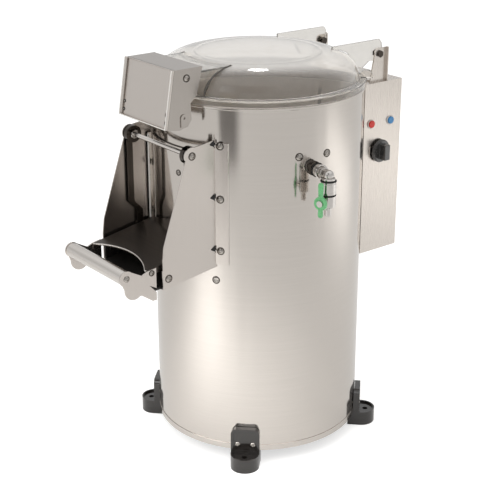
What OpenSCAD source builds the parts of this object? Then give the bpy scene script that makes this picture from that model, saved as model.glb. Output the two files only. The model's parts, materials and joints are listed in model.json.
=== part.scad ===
// Electric potato peeler: upright drum with a lift-up discharge flap, a hinged clear lid and a belt-driven disc.
// Millimetres, +Z up, origin on the drum's axis at floor level, chute towards -Y, control box towards +Y.

/* [Drum] */
// Outer radius of the drum
drum_r = 210; // [200:1:220]
// Thickness of the drum's sheet
drum_wall = 2; // [1.5:0.5:3]
// Height of the drum's bottom edge above the floor
drum_bottom = 30; // [24:1:40]
// Height of the drum's top edge above the floor
drum_top = 738; // [715:1:770]
// Height of the folded hem round the bottom edge
hem_h = 12; // [8:1:18]
// Thickness of the hem
hem_t = 1.2; // [0.8:0.1:2]
// Thickness of the abrasive liner
liner_t = 4; // [3:0.5:6]
// Height of the rolled rim at the top
rim_h = 6; // [4:1:10]
// How far the rolled rim stands out
rim_out = 3; // [2:0.5:4]

/* [Feet] */
// Width of a foot
foot_w = 58; // [50:1:66]
// Height of the foot's upright plate above the drum's bottom edge
foot_rise = 52; // [44:1:64]
// Distance from the drum's surface to the centre of the foot's round end
foot_reach = 15; // [10:1:22]
// Radius of the floor bolt hole
foot_hole_r = 5.5; // [4:0.5:7]
// Spacing of the two screws of a foot
foot_screw_gap = 31; // [26:1:34]

/* [Discharge opening] */
// Half width of the opening
opening_half = 78; // [70:1:82]
// Height of the opening
opening_h = 157; // [140:1:165]
// Distance from the drum's top edge down to the cross rod
rod_drop = 85; // [80:1:95]
// Radius of the cross rod
rod_r = 4.5; // [4:0.5:6]
// Distance from the drum's surface out to the cross rod
rod_ahead = 27; // [24:1:32]

/* [Guards] */
// Distance from the middle to a guard's inner face
guard_in = 101.5; // [100:0.5:106]
// Thickness of the guard's sheet
guard_t = 2.5; // [2:0.5:3]
// Width of the guard's flange, measured across
flange_w = 24; // [18:1:30]
// Height of the guard along the drum
guard_h = 251; // [240:1:260]
// Distance from the drum's surface to the guard's front edge at its foot
guard_ahead = 98; // [90:1:102]

/* [Flap] */
// Thickness of the flap's sheet
flap_t = 3; // [2:0.5:4]
// Width of a side bar
bar_w = 12; // [9:1:15]
// Radius of the round heads on the rod
hub_r = 17; // [14:1:18]
// Length of a round head
hub_len = 20; // [12:1:26]
// Distance from the drum's surface to the tray's front corners
tray_ahead = 127; // [120:1:132]
// Radius of the tray's arched front edge
tray_arch_r = 163; // [150:1:190]
// Radius of the handle tube
handle_r = 14; // [11:1:16]
// Distance from the tray's front corners to the handle's axis
handle_ahead = 46; // [40:1:56]
// Thickness of the door's gasket
gasket_t = 2; // [1.5:0.5:3]

/* [Lid] */
// Height of the dome above the flange
dome_h = 52; // [42:1:60]
// Thickness of the clear plastic
lid_t = 4; // [3:0.5:5]
// Height of the lid's flange
lid_flange_h = 13; // [10:1:16]
// Half width of the hood on the front
hood_half = 77; // [72:1:82]
// Thickness of the hood's sheet
hood_t = 2; // [1.5:0.5:2.5]
// Height of the hood's top above the drum's top edge
hood_up = 71; // [68:1:80]
// Distance from the drum's surface to the hood's front edge at the top
hood_ahead = 43; // [40:1:50]

/* [Lid hinge] */
// Distance from the drum's surface back to the hinge axis
hinge_behind = 32; // [29:1:38]
// Height of the hinge axis above the drum's top edge
hinge_up = 38; // [34:1:42]
// Radius of the hinge bolts
hinge_bolt_r = 4; // [3:0.5:5]
// Distance from the middle to a hinge ear's inner face
ear_in = 88; // [84:1:92]

/* [Control box] */
// Half width of the control box
box_half = 100; // [97:1:108]
// Distance from the drum's surface to the box's back
box_behind = 90; // [80:1:100]
// Height of the control box
box_h = 364; // [340:1:380]
// Thickness of the box's sheet
box_t = 2; // [1.5:0.5:2.5]
// Radius of the knob's disc
knob_r = 24; // [20:1:26]
// Radius of a push-button
button_r = 7.5; // [6:0.5:9]
// Travel of a push-button
button_travel = 3; // [2:0.5:4]

/* [Water valve] */
// Direction of the valve round the drum, in degrees
valve_angle = -9; // [-20:1:-2]
// Distance from the drum's surface out to the valve's axis
valve_out = 52; // [46:1:60]
// Distance from the drum's top edge down to the inlet
valve_drop = 121; // [110:1:140]
// Outer radius of the hose tail
hose_tail_r = 6.5; // [6:0.5:8]

/* [Drive] */
// Radius of the main shaft
shaft_r = 12.5; // [10:0.5:14]
// Running clearance round a shaft or pin
run_gap = 0.05; // [0.02:0.01:0.08]
// Radius of the driven pulley
driven_r = 75; // [66:3:81]
// Radius of the motor pulley
motor_pulley_r = 25; // [22:1:27]
// Distance from the main shaft to the motor shaft
motor_off = 125; // [118:1:130]
// Height of the motor plate above the drum's bottom edge
motor_plate_up = 210; // [200:1:216]
// Outer radius of the drain pipe
drain_r = 25; // [20:1:27]

/* [Hidden] */
$fn = 120;
e = 0.01;
seat = 0.3;                                    // gap at a seat between pieces that move apart

// places in front of and behind the drum
rod_out = drum_r + rod_ahead;
guard_out = drum_r + guard_ahead;
tray_out = drum_r + tray_ahead;
handle_out = tray_out + handle_ahead;
hood_out = drum_r + hood_ahead;
hinge_back = drum_r + hinge_behind;
box_back = drum_r + box_behind;

// heights worked out from the drum's top edge downwards
rod_z = drum_top - rod_drop;
opening_top = rod_z - 18;
opening_bottom = opening_top - opening_h;
disc_top = opening_bottom - 22;
disc_t = 12;
floor_top = disc_top - 52;
floor_t = 4;
inner_r = drum_r - drum_wall;                  // inside of the drum's sheet
liner_r = inner_r - liner_t;                   // inside of the abrasive liner

// screws: head radius, head height and shank radius
head_r = 6.5;
head_h = 3.5;
shank_r = 3;
hole_gap = 0.1;

// guards
guard_top = rod_z + 23;
guard_low = guard_top - guard_h;
guard_nose = 16;                               // radius of the guard's round corner at the rod
guard_foot = guard_low - 19;                   // the front corner hangs below the rear one
flange_r = drum_r + 0.2;
flange_out_r = flange_r + guard_t;
guard_screw_az = acos((guard_in + 11.2) / flange_out_r);
guard_rear = sqrt(pow(flange_r, 2) - pow(guard_in + guard_t, 2)) - 11.2;   // the guard's rear edge lies inside the flange
guard_screw_z = [for (i = [0 : 2]) guard_top - 12 - i * (guard_h - 44) / 2];
low_screw_y = -(guard_out - 13);
low_screw_z = guard_foot + 21;

// flap
flap_half = guard_in - 7.5;                    // inner faces of the side bars and arms
flap_out = flap_half + flap_t;
door_in_r = drum_r + 0.2 + gasket_t;
door_r = door_in_r + flap_t - 0.5;
door_bottom = opening_bottom - 16;
door_top = rod_z - 5;
door_flange = drum_r - 11;                     // how far out the door's side flanges reach
tray_rear_z = opening_bottom - 8;
tray_front_z = tray_rear_z - 21;
tray_t = 2.5;
arm_top_z = tray_front_z + 3;
handle_z = tray_front_z - 3;
lobe_r = 20;
jog_z = [rod_z - 138, rod_z - 158];            // where the side bars jog towards the drum
bar_y = -(rod_out + 6);
bar_low_y = bar_y + 19;

// lid
lid_base = drum_top + seat;
lid_top = lid_base + lid_flange_h;
lid_r = drum_r + 4;
dome_r = drum_r - 10;
hinge_z = drum_top + hinge_up;
hood_top = drum_top + hood_up;
hood_low = drum_top - 37;
hood_bottom_out = hood_out + 18;

// control box
box_top = drum_top - 18;
box_bottom = box_top - box_h;
recess_half = box_half - 22;                   // half width of the recess that takes the drum's back
box_front = sqrt(pow(drum_r, 2) - pow(recess_half, 2)) + 2;
box_plate_y = drum_r + 3;                      // the box's inner plate, just behind the drum
box_bolt_x = box_half - 60;
knob_y = (box_front + box_back) / 2 - 7.5;
knob_z = box_top - 144;
button_z = box_top - 84;
stop_y = knob_y - 25;
start_y = knob_y + 29;
bezel_t = 1.5;
knob_stand = 3;

// water valve
inlet_z = drum_top - valve_drop;
valve_r = drum_r + valve_out;
elbow_r = 10;
leg_r = 8.5;
valve_h = 49;
valve_top = inlet_z - 11;
stem_z = inlet_z - 47;
stem_turn = 28;                                // the stem points this far round from the tangent
handle_plane = 25;

// drive
plate_z = drum_bottom + motor_plate_up;
belt_z = plate_z + 35;
belt_h = 16;
belt_t = 4;
belt_gap = 0.4;
bearing_out = shaft_r + 13.5;
bearing_h = 15;
housing_bottom = floor_top - 94;
shaft_bottom = belt_z - 14;
motor_r = 60;
motor_shaft_r = 9.5;

// ---------- shared helpers ----------
module both_sides() {
    children();
    mirror([1, 0, 0]) children();
}

module ring(r_in, r_out, z, h) {
    translate([0, 0, z]) difference() {
        cylinder(r = r_out, h = h);
        translate([0, 0, -1]) cylinder(r = r_in, h = h + 2);
    }
}

// a plate drawn in the Y-Z plane and as thick as t, with its inner face at x
module yz_plate(x, t) {
    translate([x, 0, 0]) rotate([90, 0, 90]) linear_extrude(t) children();
}

// stands its children on the drum's surface at angle az and height z, their +Z outwards
module on_drum(az, z, r = drum_r) {
    rotate([0, 0, az]) translate([r, 0, z]) rotate([0, 90, 0]) children();
}

// turns the children's +Z to +X
module facing_x(x, y, z) {
    translate([x, y, z]) rotate([0, 90, 0]) children();
}

module screw(shank, r = head_r, h = head_h) {
    difference() {
        intersection() {
            cylinder(r = r, h = h, $fn = 48);
            translate([0, 0, h - r * 1.3]) sphere(r = r * 1.3, $fn = 48);
        }
        translate([0, 0, h - 1.6]) cylinder(r = r * 0.38, h = 3, $fn = 6);
    }
    translate([0, 0, -shank]) cylinder(r = shank_r, h = shank + e, $fn = 32);
}

module screw_hole(depth) {
    translate([0, 0, -depth]) cylinder(r = shank_r + hole_gap, h = depth + 20, $fn = 32);
}

module guard_flange_screws() {
    for (side = [-1, 1], z = guard_screw_z)
        on_drum(-90 + side * (90 - guard_screw_az), z, flange_out_r + 0.02) children();
}

// screws through the drum's own sheet: a pair above the inlet and one below each guard
drum_screw_places = [
    [valve_angle - 8.3, inlet_z + 25], [valve_angle + 8.3, inlet_z + 24],
    [-61, guard_foot - 11], [-119, guard_foot - 11]
];
module at_drum_screws() {
    for (p = drum_screw_places) on_drum(p[0], p[1], drum_r + 0.12) children();
}

foot_angles = [-45, -135, 45, 135];
module at_foot_screws() {
    for (a = foot_angles) rotate([0, 0, a]) for (s = [-1, 1])
        translate([foot_face, s * foot_screw_gap / 2, drum_bottom + 17]) rotate([0, 90, 0]) children();
}

// ---------- drum ----------
module opening_cut(r_in, half, low, high) {
    translate([-half, -drum_r - 20, low]) cube([2 * half, drum_r + 20 - r_in * 0.5, high - low]);
}

module drum_shell() {
    color("silver") difference() {
        ring(inner_r, drum_r, drum_bottom, drum_top - drum_bottom);
        opening_cut(inner_r, opening_half, opening_bottom, opening_top);
        on_drum(valve_angle, inlet_z) translate([0, 0, -20]) cylinder(r = inlet_bore_r + hole_gap, h = 40);
        on_drum(180, drain_z) translate([0, 0, -40]) cylinder(r = elbow_out_r + hole_gap, h = 60);
        guard_flange_screws() screw_hole(guard_t + drum_wall + 1);
        at_drum_screws() screw_hole(drum_wall + 1);
        at_foot_screws() screw_hole(30);
        at_box_bolts() screw_hole(drum_wall + 20);
    }
}

module drum_rim() {
    color("silver") rotate_extrude() polygon([
        [drum_r, drum_top - rim_h], [drum_r + rim_out - 1, drum_top - rim_h],
        [drum_r + rim_out, drum_top - rim_h + 1], [drum_r + rim_out, drum_top - 1.5],
        [drum_r + rim_out - 1.5, drum_top], [drum_r, drum_top]
    ]);
}

module base_ring() {
    color("silver") difference() {
        ring(drum_r, drum_r + hem_t, drum_bottom, hem_h);
    }
}

module abrasive_liner() {
    color("dimgray") difference() {
        ring(liner_r, inner_r, floor_top, drum_top - 22 - floor_top);
        opening_cut(liner_r, opening_half, opening_bottom, opening_top);
        on_drum(valve_angle, inlet_z) translate([0, 0, -40]) cylinder(r = inlet_nut_r + 2, h = 60);
        for (p = drum_screw_places) on_drum(p[0], p[1]) translate([0, 0, -30]) cylinder(r = 5, h = 50);
        for (side = [-1, 1], z = guard_screw_z)
            on_drum(-90 + side * (90 - guard_screw_az), z) translate([0, 0, -30]) cylinder(r = 5, h = 50);
        at_box_bolts() translate([0, 0, -60]) cylinder(r = 5, h = 60);
    }
}

drain_z = floor_top - floor_t - drain_r - 16;
drain_x = -(inner_r - 42);
elbow_out_r = drain_r + 1.5;                   // the pipe is thicker inside the drum than its spout
module chamber_floor() {
    color("gainsboro") difference() {
        translate([0, 0, floor_top - floor_t]) cylinder(r = inner_r, h = floor_t);
        translate([0, 0, floor_top - 50]) cylinder(r = housing_r + hole_gap, h = 100);
        translate([drain_x, 0, floor_top - 50]) cylinder(r = drain_r - 2.5, h = 100);
    }
}

module drain_pipe() {
    bore = drain_r - 2.5;
    color("dimgray") difference() {
        union() {
            translate([drain_x, 0, drain_z]) cylinder(r = elbow_out_r, h = floor_top - floor_t - drain_z);
            translate([drain_x, 0, drain_z]) sphere(r = elbow_out_r);
            translate([drain_x, 0, drain_z]) rotate([0, -90, 0]) cylinder(r = elbow_out_r, h = drum_r + 4 + drain_x);
            translate([drain_x, 0, drain_z]) rotate([0, -90, 0]) cylinder(r = drain_r, h = drum_r + 45 + drain_x);
        }
        translate([drain_x, 0, drain_z]) cylinder(r = bore, h = floor_top - drain_z);
        translate([drain_x, 0, drain_z]) sphere(r = bore);
        translate([drain_x, 0, drain_z]) rotate([0, -90, 0]) cylinder(r = bore, h = 200);
    }
}

// ---------- drive ----------
housing_r = bearing_out + 8;
module bearing_housing() {
    color("gray") difference() {
        union() {
            translate([0, 0, housing_bottom]) cylinder(r = housing_r, h = floor_top + 10 - housing_bottom);
            translate([0, 0, floor_top - floor_t - 8]) cylinder(r = housing_r + 28, h = 8);
            for (a = [0 : 60 : 300]) rotate([0, 0, a + 30]) translate([housing_r - 2, -3, housing_bottom + 20])
                cube([18, 6, floor_top - floor_t - 8 - housing_bottom - 20 + e]);
        }
        translate([0, 0, housing_bottom - 1]) cylinder(r = shaft_r + 6, h = 200);
        translate([0, 0, housing_bottom - 1]) cylinder(r = bearing_out, h = bearing_h + 1);
        translate([0, 0, floor_top + 10 - bearing_h]) cylinder(r = bearing_out, h = bearing_h + 1);
    }
}

module shaft_bearings() {
    color("lightgray") for (z = [housing_bottom, floor_top + 10 - bearing_h])
        ring(shaft_r + run_gap, bearing_out, z, bearing_h);
}

module main_shaft() {
    color("silver") {
        translate([0, 0, shaft_bottom]) cylinder(r = shaft_r, h = disc_top - shaft_bottom + 4);
        translate([0, 0, disc_top + 4 - e]) cylinder(r = shaft_r * 0.55, h = 14, $fn = 48);
    }
}

// abrasive disc with three raised waves on top and a hub below
module peeling_disc() {
    disc_r = liner_r - 9;
    wave_r = 34;
    color("dimgray") difference() {
        union() {
            rotate_extrude() polygon([
                [shaft_r, disc_top - disc_t - 20], [shaft_r + 14, disc_top - disc_t - 20],
                [shaft_r + 18, disc_top - disc_t], [disc_r - 3, disc_top - disc_t],
                [disc_r, disc_top - disc_t + 3], [disc_r, disc_top - 2], [disc_r - 2, disc_top],
                [shaft_r, disc_top]
            ]);
            intersection() {
                for (a = [90, 210, 330]) rotate([0, 0, a])
                    translate([40, 0, disc_top + 12 - wave_r]) rotate([0, 90, 0]) cylinder(r = wave_r, h = disc_r);
                translate([0, 0, disc_top - 2]) cylinder(r = disc_r - 8, h = 30);
            }
        }
        translate([0, 0, disc_top - 60]) cylinder(r = shaft_r + hole_gap, h = 100);
    }
}

module driven_pulley() {
    color("gray") difference() {
        rotate_extrude() polygon([
            [shaft_r + hole_gap, belt_z - 13], [shaft_r + 13, belt_z - 13], [shaft_r + 13, belt_z - 4],
            [driven_r - 9, belt_z - 4], [driven_r - 9, belt_z - belt_h / 2 - 3],
            [driven_r + 3, belt_z - belt_h / 2 - 3], [driven_r + 3, belt_z - belt_h / 2 - 1],
            [driven_r, belt_z - belt_h / 2 - 1], [driven_r, belt_z + belt_h / 2 + 1],
            [driven_r + 3, belt_z + belt_h / 2 + 1], [driven_r + 3, belt_z + belt_h / 2 + 3],
            [driven_r - 9, belt_z + belt_h / 2 + 3], [driven_r - 9, belt_z + 4], [shaft_r + 13, belt_z + 4],
            [shaft_r + 13, belt_z + 13], [shaft_r + hole_gap, belt_z + 13]
        ]);
        for (a = [0 : 72 : 288]) rotate([0, 0, a])
            translate([(shaft_r + driven_r) / 2 + 2, 0, belt_z - 10]) cylinder(r = 12, h = 20);
    }
}

module motor_pulley() {
    color("gray") {
        translate([-motor_off, 0, plate_z - 40]) cylinder(r = motor_shaft_r, h = belt_z + 18 - plate_z + 40);
        translate([-motor_off, 0, 0]) rotate_extrude() polygon([
            [motor_shaft_r - 1, belt_z - 13], [motor_shaft_r + 6, belt_z - 13],
            [motor_pulley_r + 3, belt_z - belt_h / 2 - 3], [motor_pulley_r + 3, belt_z - belt_h / 2 - 1],
            [motor_pulley_r, belt_z - belt_h / 2 - 1], [motor_pulley_r, belt_z + belt_h / 2 + 1],
            [motor_pulley_r + 3, belt_z + belt_h / 2 + 1], [motor_pulley_r + 3, belt_z + belt_h / 2 + 3],
            [motor_shaft_r - 1, belt_z + belt_h / 2 + 3]
        ]);
    }
}

// points of a belt's edge round both pulleys, at distance d from them
function belt_points(d) =
    let (a = acos((driven_r - motor_pulley_r) / motor_off), big = driven_r + d, small = motor_pulley_r + d,
        long = 180 - a, n = 60, m = 24)
    concat(
        [for (i = [0 : n]) big * [cos(-long + 2 * long * i / n), sin(-long + 2 * long * i / n)]],
        [for (i = [0 : m]) [-motor_off, 0] + small * [cos(long + 2 * a * i / m), sin(long + 2 * a * i / m)]]
    );

module drive_belt() {
    color("#222222") translate([0, 0, belt_z - belt_h / 2]) linear_extrude(belt_h) difference() {
        polygon(belt_points(belt_gap + belt_t));
        polygon(belt_points(belt_gap));
    }
}

module motor_plate() {
    color("gainsboro") difference() {
        translate([0, 0, plate_z]) cylinder(r = inner_r, h = 6);
        translate([-motor_off, 0, plate_z - 1]) cylinder(r = 32, h = 8);
        translate([60, 90, plate_z - 1]) cylinder(r = 30, h = 8);
        translate([60, -90, plate_z - 1]) cylinder(r = 30, h = 8);
    }
}

// totally enclosed motor that hangs under its plate, with cooling fins
module motor_body() {
    motor_h = motor_plate_up - 34;
    color("slategray") translate([-motor_off, 0, plate_z]) difference() {
        union() {
            translate([0, 0, -motor_h]) linear_extrude(motor_h - 8 + e) {
                circle(r = motor_r - 7);
                for (a = [0 : 15 : 345]) rotate(a) translate([motor_r - 9, -1.2]) square([9, 2.4]);
            }
            translate([0, 0, -8]) cylinder(r = motor_r + 6, h = 8);
            translate([0, 0, -8]) cylinder(r = 30, h = 16);
            translate([motor_r - 12, -30, -motor_h * 0.62]) cube([34, 60, 60]);
        }
        translate([0, 0, -41]) cylinder(r = motor_shaft_r + run_gap, h = 60);
    }
}

// ---------- feet ----------
foot_face = drum_r + 12;
module foot() {
    plate_top = drum_bottom + foot_rise;
    corner = 12;
    frame_w = 5;
    end_x = drum_r + foot_reach;
    color("#3a3836") difference() {
        union() {
            // base with a round end
            linear_extrude(drum_bottom) {
                translate([end_x, 0]) circle(r = foot_w / 2);
                translate([drum_r - 12, -foot_w / 2]) square([foot_reach + 12, foot_w]);
            }
            // upright plate with rounded top corners
            translate([drum_r - 12, 0, 0]) rotate([90, 0, 90]) linear_extrude(foot_face - drum_r + 12) {
                translate([-foot_w / 2, 0]) square([foot_w, plate_top - corner]);
                for (s = [-1, 1]) translate([s * (foot_w / 2 - corner), plate_top - corner]) circle(r = corner);
                translate([-foot_w / 2 + corner, 0]) square([foot_w - 2 * corner, plate_top]);
            }
        }
        translate([0, 0, drum_bottom]) cylinder(r = drum_r + hem_t, h = foot_rise + 20);
        // recessed panel inside a raised frame
        translate([foot_face - 2.5, 0, 0]) rotate([90, 0, 90]) linear_extrude(10) {
            translate([-foot_w / 2 + frame_w, drum_bottom + 3])
                square([foot_w - 2 * frame_w, foot_rise - frame_w - corner + 2]);
            for (s = [-1, 1]) translate([s * (foot_w / 2 - corner), plate_top - corner])
                circle(r = corner - frame_w);
            translate([-foot_w / 2 + corner, drum_bottom + 3])
                square([foot_w - 2 * corner, foot_rise - 3 - frame_w]);
        }
        // dished top of the base in front of the plate
        translate([0, 0, drum_bottom - 4]) linear_extrude(10) intersection() {
            translate([end_x, 0]) circle(r = foot_w / 2 - 3);
            translate([foot_face + 0.5, -foot_w]) square([foot_w, 2 * foot_w]);
        }
        translate([foot_bolt_r, 0, -1]) cylinder(r = foot_hole_r, h = drum_bottom + 10);
        for (s = [-1, 1]) translate([foot_face, s * foot_screw_gap / 2, drum_bottom + 17])
            rotate([0, 90, 0]) screw_hole(30);
    }
}
foot_bolt_r = drum_r + foot_reach + 9;
module foot_front_right() { rotate([0, 0, -45]) foot(); }
module foot_front_left() { rotate([0, 0, -135]) foot(); }
module foot_rear_right() { rotate([0, 0, 45]) foot(); }
module foot_rear_left() { rotate([0, 0, 135]) foot(); }

module foot_screws() {
    color("gainsboro") for (a = foot_angles) rotate([0, 0, a]) for (s = [-1, 1])
        translate([foot_face - 2.5, s * foot_screw_gap / 2, drum_bottom + 17]) rotate([0, 90, 0])
            screw(foot_face - 2.5 - inner_r + 6, 5.5, 3.5);
}

// ---------- chute guards ----------
module guard_outline() {
    nose = [-rod_out - 1, rod_z + 1];
    polygon([
        [-guard_rear, guard_low], [-guard_rear, guard_top],
        [-rod_out + 6, rod_z + guard_nose], [nose[0] - guard_nose + 3, nose[1] - 8],
        [-guard_out + 4, rod_z - 163], [-guard_out, rod_z - 193], [-guard_out, guard_foot]
    ]);
    translate(nose) circle(r = guard_nose);
}

module guard() {
    flange_edge = guard_in + flange_w;
    color("silver") difference() {
        union() {
            difference() {
                yz_plate(guard_in, guard_t) guard_outline();
                cylinder(r = flange_r, h = drum_top);
            }
            // flange that follows the drum
            intersection() {
                ring(flange_r, flange_out_r, guard_low + 4, guard_h - 10);
                translate([guard_in + e, -drum_r - 10, guard_low]) cube([flange_edge - guard_in, 120, guard_h]);
            }
            // pressed gussets in the fold, one at each screw
            for (z = guard_screw_z) translate([guard_in + guard_t - 0.5, -sqrt(pow(flange_out_r, 2)
                - pow(guard_in + guard_t, 2)) + 1, z - 1]) linear_extrude(2.5)
                polygon([[0, 0], [0, -9], [4, 2]]);
        }
        guard_flange_screws() screw_hole(guard_t + drum_wall + 1);
        facing_x(guard_in + guard_t, -rod_out, rod_z) screw_hole(guard_t + 2);
        facing_x(guard_in + guard_t, low_screw_y, low_screw_z) screw_hole(guard_t + 2);
    }
}
module guard_right() { guard(); }
module guard_left() { mirror([1, 0, 0]) guard(); }

module guard_screws() {
    color("gainsboro") {
        guard_flange_screws() screw(guard_t + drum_wall);
        both_sides() {
            facing_x(guard_in + guard_t, -rod_out, rod_z) screw(guard_t + 10);
            facing_x(guard_in + guard_t, low_screw_y, low_screw_z) screw(guard_t + 6);
        }
    }
}

module pivot_rod() {
    color("silver") difference() {
        translate([-guard_in, -rod_out, rod_z]) rotate([0, 90, 0]) cylinder(r = rod_r, h = 2 * guard_in);
        both_sides() facing_x(guard_in, -rod_out, rod_z) screw_hole(11);
    }
}

// black apron between the guards, under the tray
module chute_apron() {
    rear_z = guard_low - 8;
    front_z = guard_low - 22;
    apron_t = 3;
    apron_out = tray_out + 3;
    color("#1c1c1c") difference() {
        union() {
            translate([-flap_half + 1, 0, 0]) rotate([90, 0, 90]) linear_extrude(2 * flap_half - 2) polygon([
                [-drum_r + 60, rear_z], [-apron_out, front_z], [-apron_out, front_z + apron_t],
                [-drum_r + 60, rear_z + apron_t]
            ]);
            both_sides() {
                translate([flap_half - 2, 0, 0]) rotate([90, 0, 90]) linear_extrude(guard_in - flap_half + 2) polygon([
                    [-drum_r + 60, rear_z - 1.5], [-guard_out + 2, front_z + 2.2],
                    [-guard_out + 2, front_z + 2.2 + apron_t], [-drum_r + 60, rear_z + apron_t - 1.5]
                ]);
                translate([guard_in - apron_t, 0, 0]) rotate([90, 0, 90]) linear_extrude(apron_t) polygon([
                    [-drum_r + 60, rear_z - 1], [-guard_out + 2, front_z + 3], [-guard_out + 2, low_screw_z + 9],
                    [-drum_r + 60, low_screw_z + 9]
                ]);
            }
        }
        cylinder(r = drum_r + 0.5, h = drum_top);
        both_sides() facing_x(guard_in, low_screw_y, low_screw_z) screw_hole(apron_t + 6);
    }
}

module drum_screws() {
    color("gainsboro") at_drum_screws() screw(drum_wall + 1);
}

// ---------- flap ----------
module flap_bar() {
    hub_x = flap_out + 1 - hub_len;
    color("#6b6661") difference() {
        union() {
            yz_plate(flap_half, flap_t) {
                translate([bar_y - bar_w / 2, jog_z[0]]) square([bar_w, rod_z - jog_z[0]]);
                polygon([
                    [bar_y - bar_w / 2, jog_z[0] + e], [bar_y + bar_w / 2, jog_z[0] + e],
                    [bar_low_y + bar_w / 2, jog_z[1] - e], [bar_low_y - bar_w / 2, jog_z[1] - e]
                ]);
                translate([bar_low_y - bar_w / 2, tray_rear_z - 4]) square([bar_w, jog_z[1] - tray_rear_z + 4]);
                translate([bar_low_y, tray_rear_z - 4]) circle(r = bar_w / 2);
            }
            facing_x(hub_x, -rod_out, rod_z) cylinder(r = hub_r, h = hub_len);
        }
        facing_x(0, -rod_out, rod_z) cylinder(r = rod_r + run_gap, h = guard_in + 20);
        facing_x(flap_out, bar_low_y, tray_rear_z - 6) screw_hole(flap_t + 2);
    }
}
module flap_bar_right() { flap_bar(); }
module flap_bar_left() { mirror([1, 0, 0]) flap_bar(); }

// the tray's top surface at a distance y from the axis
function tray_z(y) = tray_rear_z + (-drum_r - 3 - y) * (tray_front_z - tray_rear_z) / (tray_out - drum_r - 3);

module tray_slab(x_half, y_in, y_out, up, down) {
    translate([-x_half, 0, 0]) rotate([90, 0, 90]) linear_extrude(2 * x_half) polygon([
        [-y_in, tray_z(-y_in) + up], [-y_out, tray_z(-y_out) + up],
        [-y_out, tray_z(-y_out) - down], [-y_in, tray_z(-y_in) - down]
    ]);
}

module flap_tray() {
    lip = 12;
    arch_y = -(tray_out - 25.4) - tray_arch_r;
    color("#8a8580") difference() {
        tray_slab(flap_half, drum_r - 70, tray_out, 0, lip);
        // everything under the sheet but the side lips is open
        translate([0, 0, -tray_t]) difference() {
            tray_slab(flap_half - tray_t, drum_r - 71, tray_out + 1, 0, lip + 5);
        }
        cylinder(r = door_r, h = drum_top);
        translate([0, arch_y, 0]) cylinder(r = tray_arch_r, h = drum_top);
        both_sides() facing_x(flap_half, bar_low_y, tray_rear_z - 6) screw_hole(8);
        both_sides() facing_x(flap_half, -(tray_out - 9), tray_front_z - 5) screw_hole(8);
    }
}

module door_plate() {
    color("silver") difference() {
        union() {
            intersection() {
                ring(door_in_r, door_r, door_bottom, door_top - door_bottom);
                translate([-flap_out, -door_r - 5, door_bottom]) cube([2 * flap_out, 120, door_top - door_bottom]);
            }
            both_sides() difference() {
                translate([flap_half, -door_flange, door_bottom + 8])
                    cube([flap_t, 40, door_top - door_bottom - 8]);
                cylinder(r = door_in_r, h = drum_top);
            }
        }
        at_door_screws() screw_hole(flap_t + 1);
    }
}

door_screw_az = asin((flap_half - 5.6) / door_r);
door_screw_places = [
    [-door_screw_az, 48], [door_screw_az, 48], [-door_screw_az, 148], [door_screw_az, 148], [6.8, 38]
];
module at_door_screws() {
    for (p = door_screw_places) on_drum(-90 + p[0], door_top - p[1] - 12, door_r + 0.1) children();
}

module door_gasket() {
    edge = 9;
    color("#1a1a1a") difference() {
        intersection() {
            ring(door_in_r - gasket_t, door_in_r, door_bottom + 3, door_top - door_bottom - 5);
            translate([-opening_half - edge, -door_r - 5, 0]) cube([2 * (opening_half + edge), 120, drum_top]);
        }
        opening_cut(inner_r, opening_half, opening_bottom, opening_top);
        at_door_screws() translate([0, 0, -30]) cylinder(r = shank_r + 1, h = 40);
    }
}

// side arm from the tray out to the handle, with a round ear, a big lobe and a lower tab
module handle_arm_outline() {
    ear = [-handle_out, handle_z];
    lobe = [-handle_out + 16, handle_z - 25];
    inner_y = -(guard_out + 10);
    difference() {
        union() {
            translate(ear) circle(r = handle_r + 1);
            translate(lobe) circle(r = lobe_r);
            polygon([
                [-handle_out - 14, handle_z + 2], [-handle_out + 10, handle_z + 11], [-tray_out - 12, arm_top_z - 8],
                [-tray_out, tray_z(-tray_out)], [inner_y, tray_z(inner_y)], [inner_y, handle_z - 58],
                [inner_y - 9, handle_z - 58], [-tray_out - 14, handle_z - 41]
            ]);
            polygon([
                [-handle_out - 10, handle_z - 8], [-handle_out, handle_z], [-tray_out - 10, handle_z - 10],
                [-tray_out - 14, handle_z - 41], [-handle_out + 2, handle_z - 38]
            ]);
        }
        // notch that leaves the lower tab
        polygon([
            [inner_y + 1, handle_z - 42], [inner_y + 1, handle_z - 34], [inner_y, handle_z - 34],
            [inner_y - 15, handle_z - 26], [inner_y, handle_z - 42]
        ]);
    }
}

module handle_arms() {
    color("silver") both_sides() difference() {
        yz_plate(flap_half, flap_t) handle_arm_outline();
        facing_x(flap_out, -handle_out, handle_z) screw_hole(flap_t + 2);
        facing_x(flap_out, -(tray_out - 9), tray_front_z - 5) screw_hole(flap_t + 2);
    }
}

module handle_tube() {
    plug = 12;
    color("silver") difference() {
        facing_x(-flap_half, -handle_out, handle_z) cylinder(r = handle_r, h = 2 * flap_half);
        facing_x(-flap_half + plug, -handle_out, handle_z) cylinder(r = handle_r - 1.5, h = 2 * (flap_half - plug));
        both_sides() facing_x(flap_half, -handle_out, handle_z) screw_hole(plug - 3);
    }
}

module flap_screws() {
    color("gainsboro") {
        at_door_screws() screw(flap_t - 0.5, 5, 3);
        both_sides() {
            facing_x(flap_out, -handle_out, handle_z) screw(flap_t + 8);
            facing_x(flap_out + 0, bar_low_y, tray_rear_z - 6) screw(flap_t + 2, 5, 2);
            facing_x(flap_out, -(tray_out - 9), tray_front_z - 5) screw(flap_t + 2, 5, 2);
        }
    }
}

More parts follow.
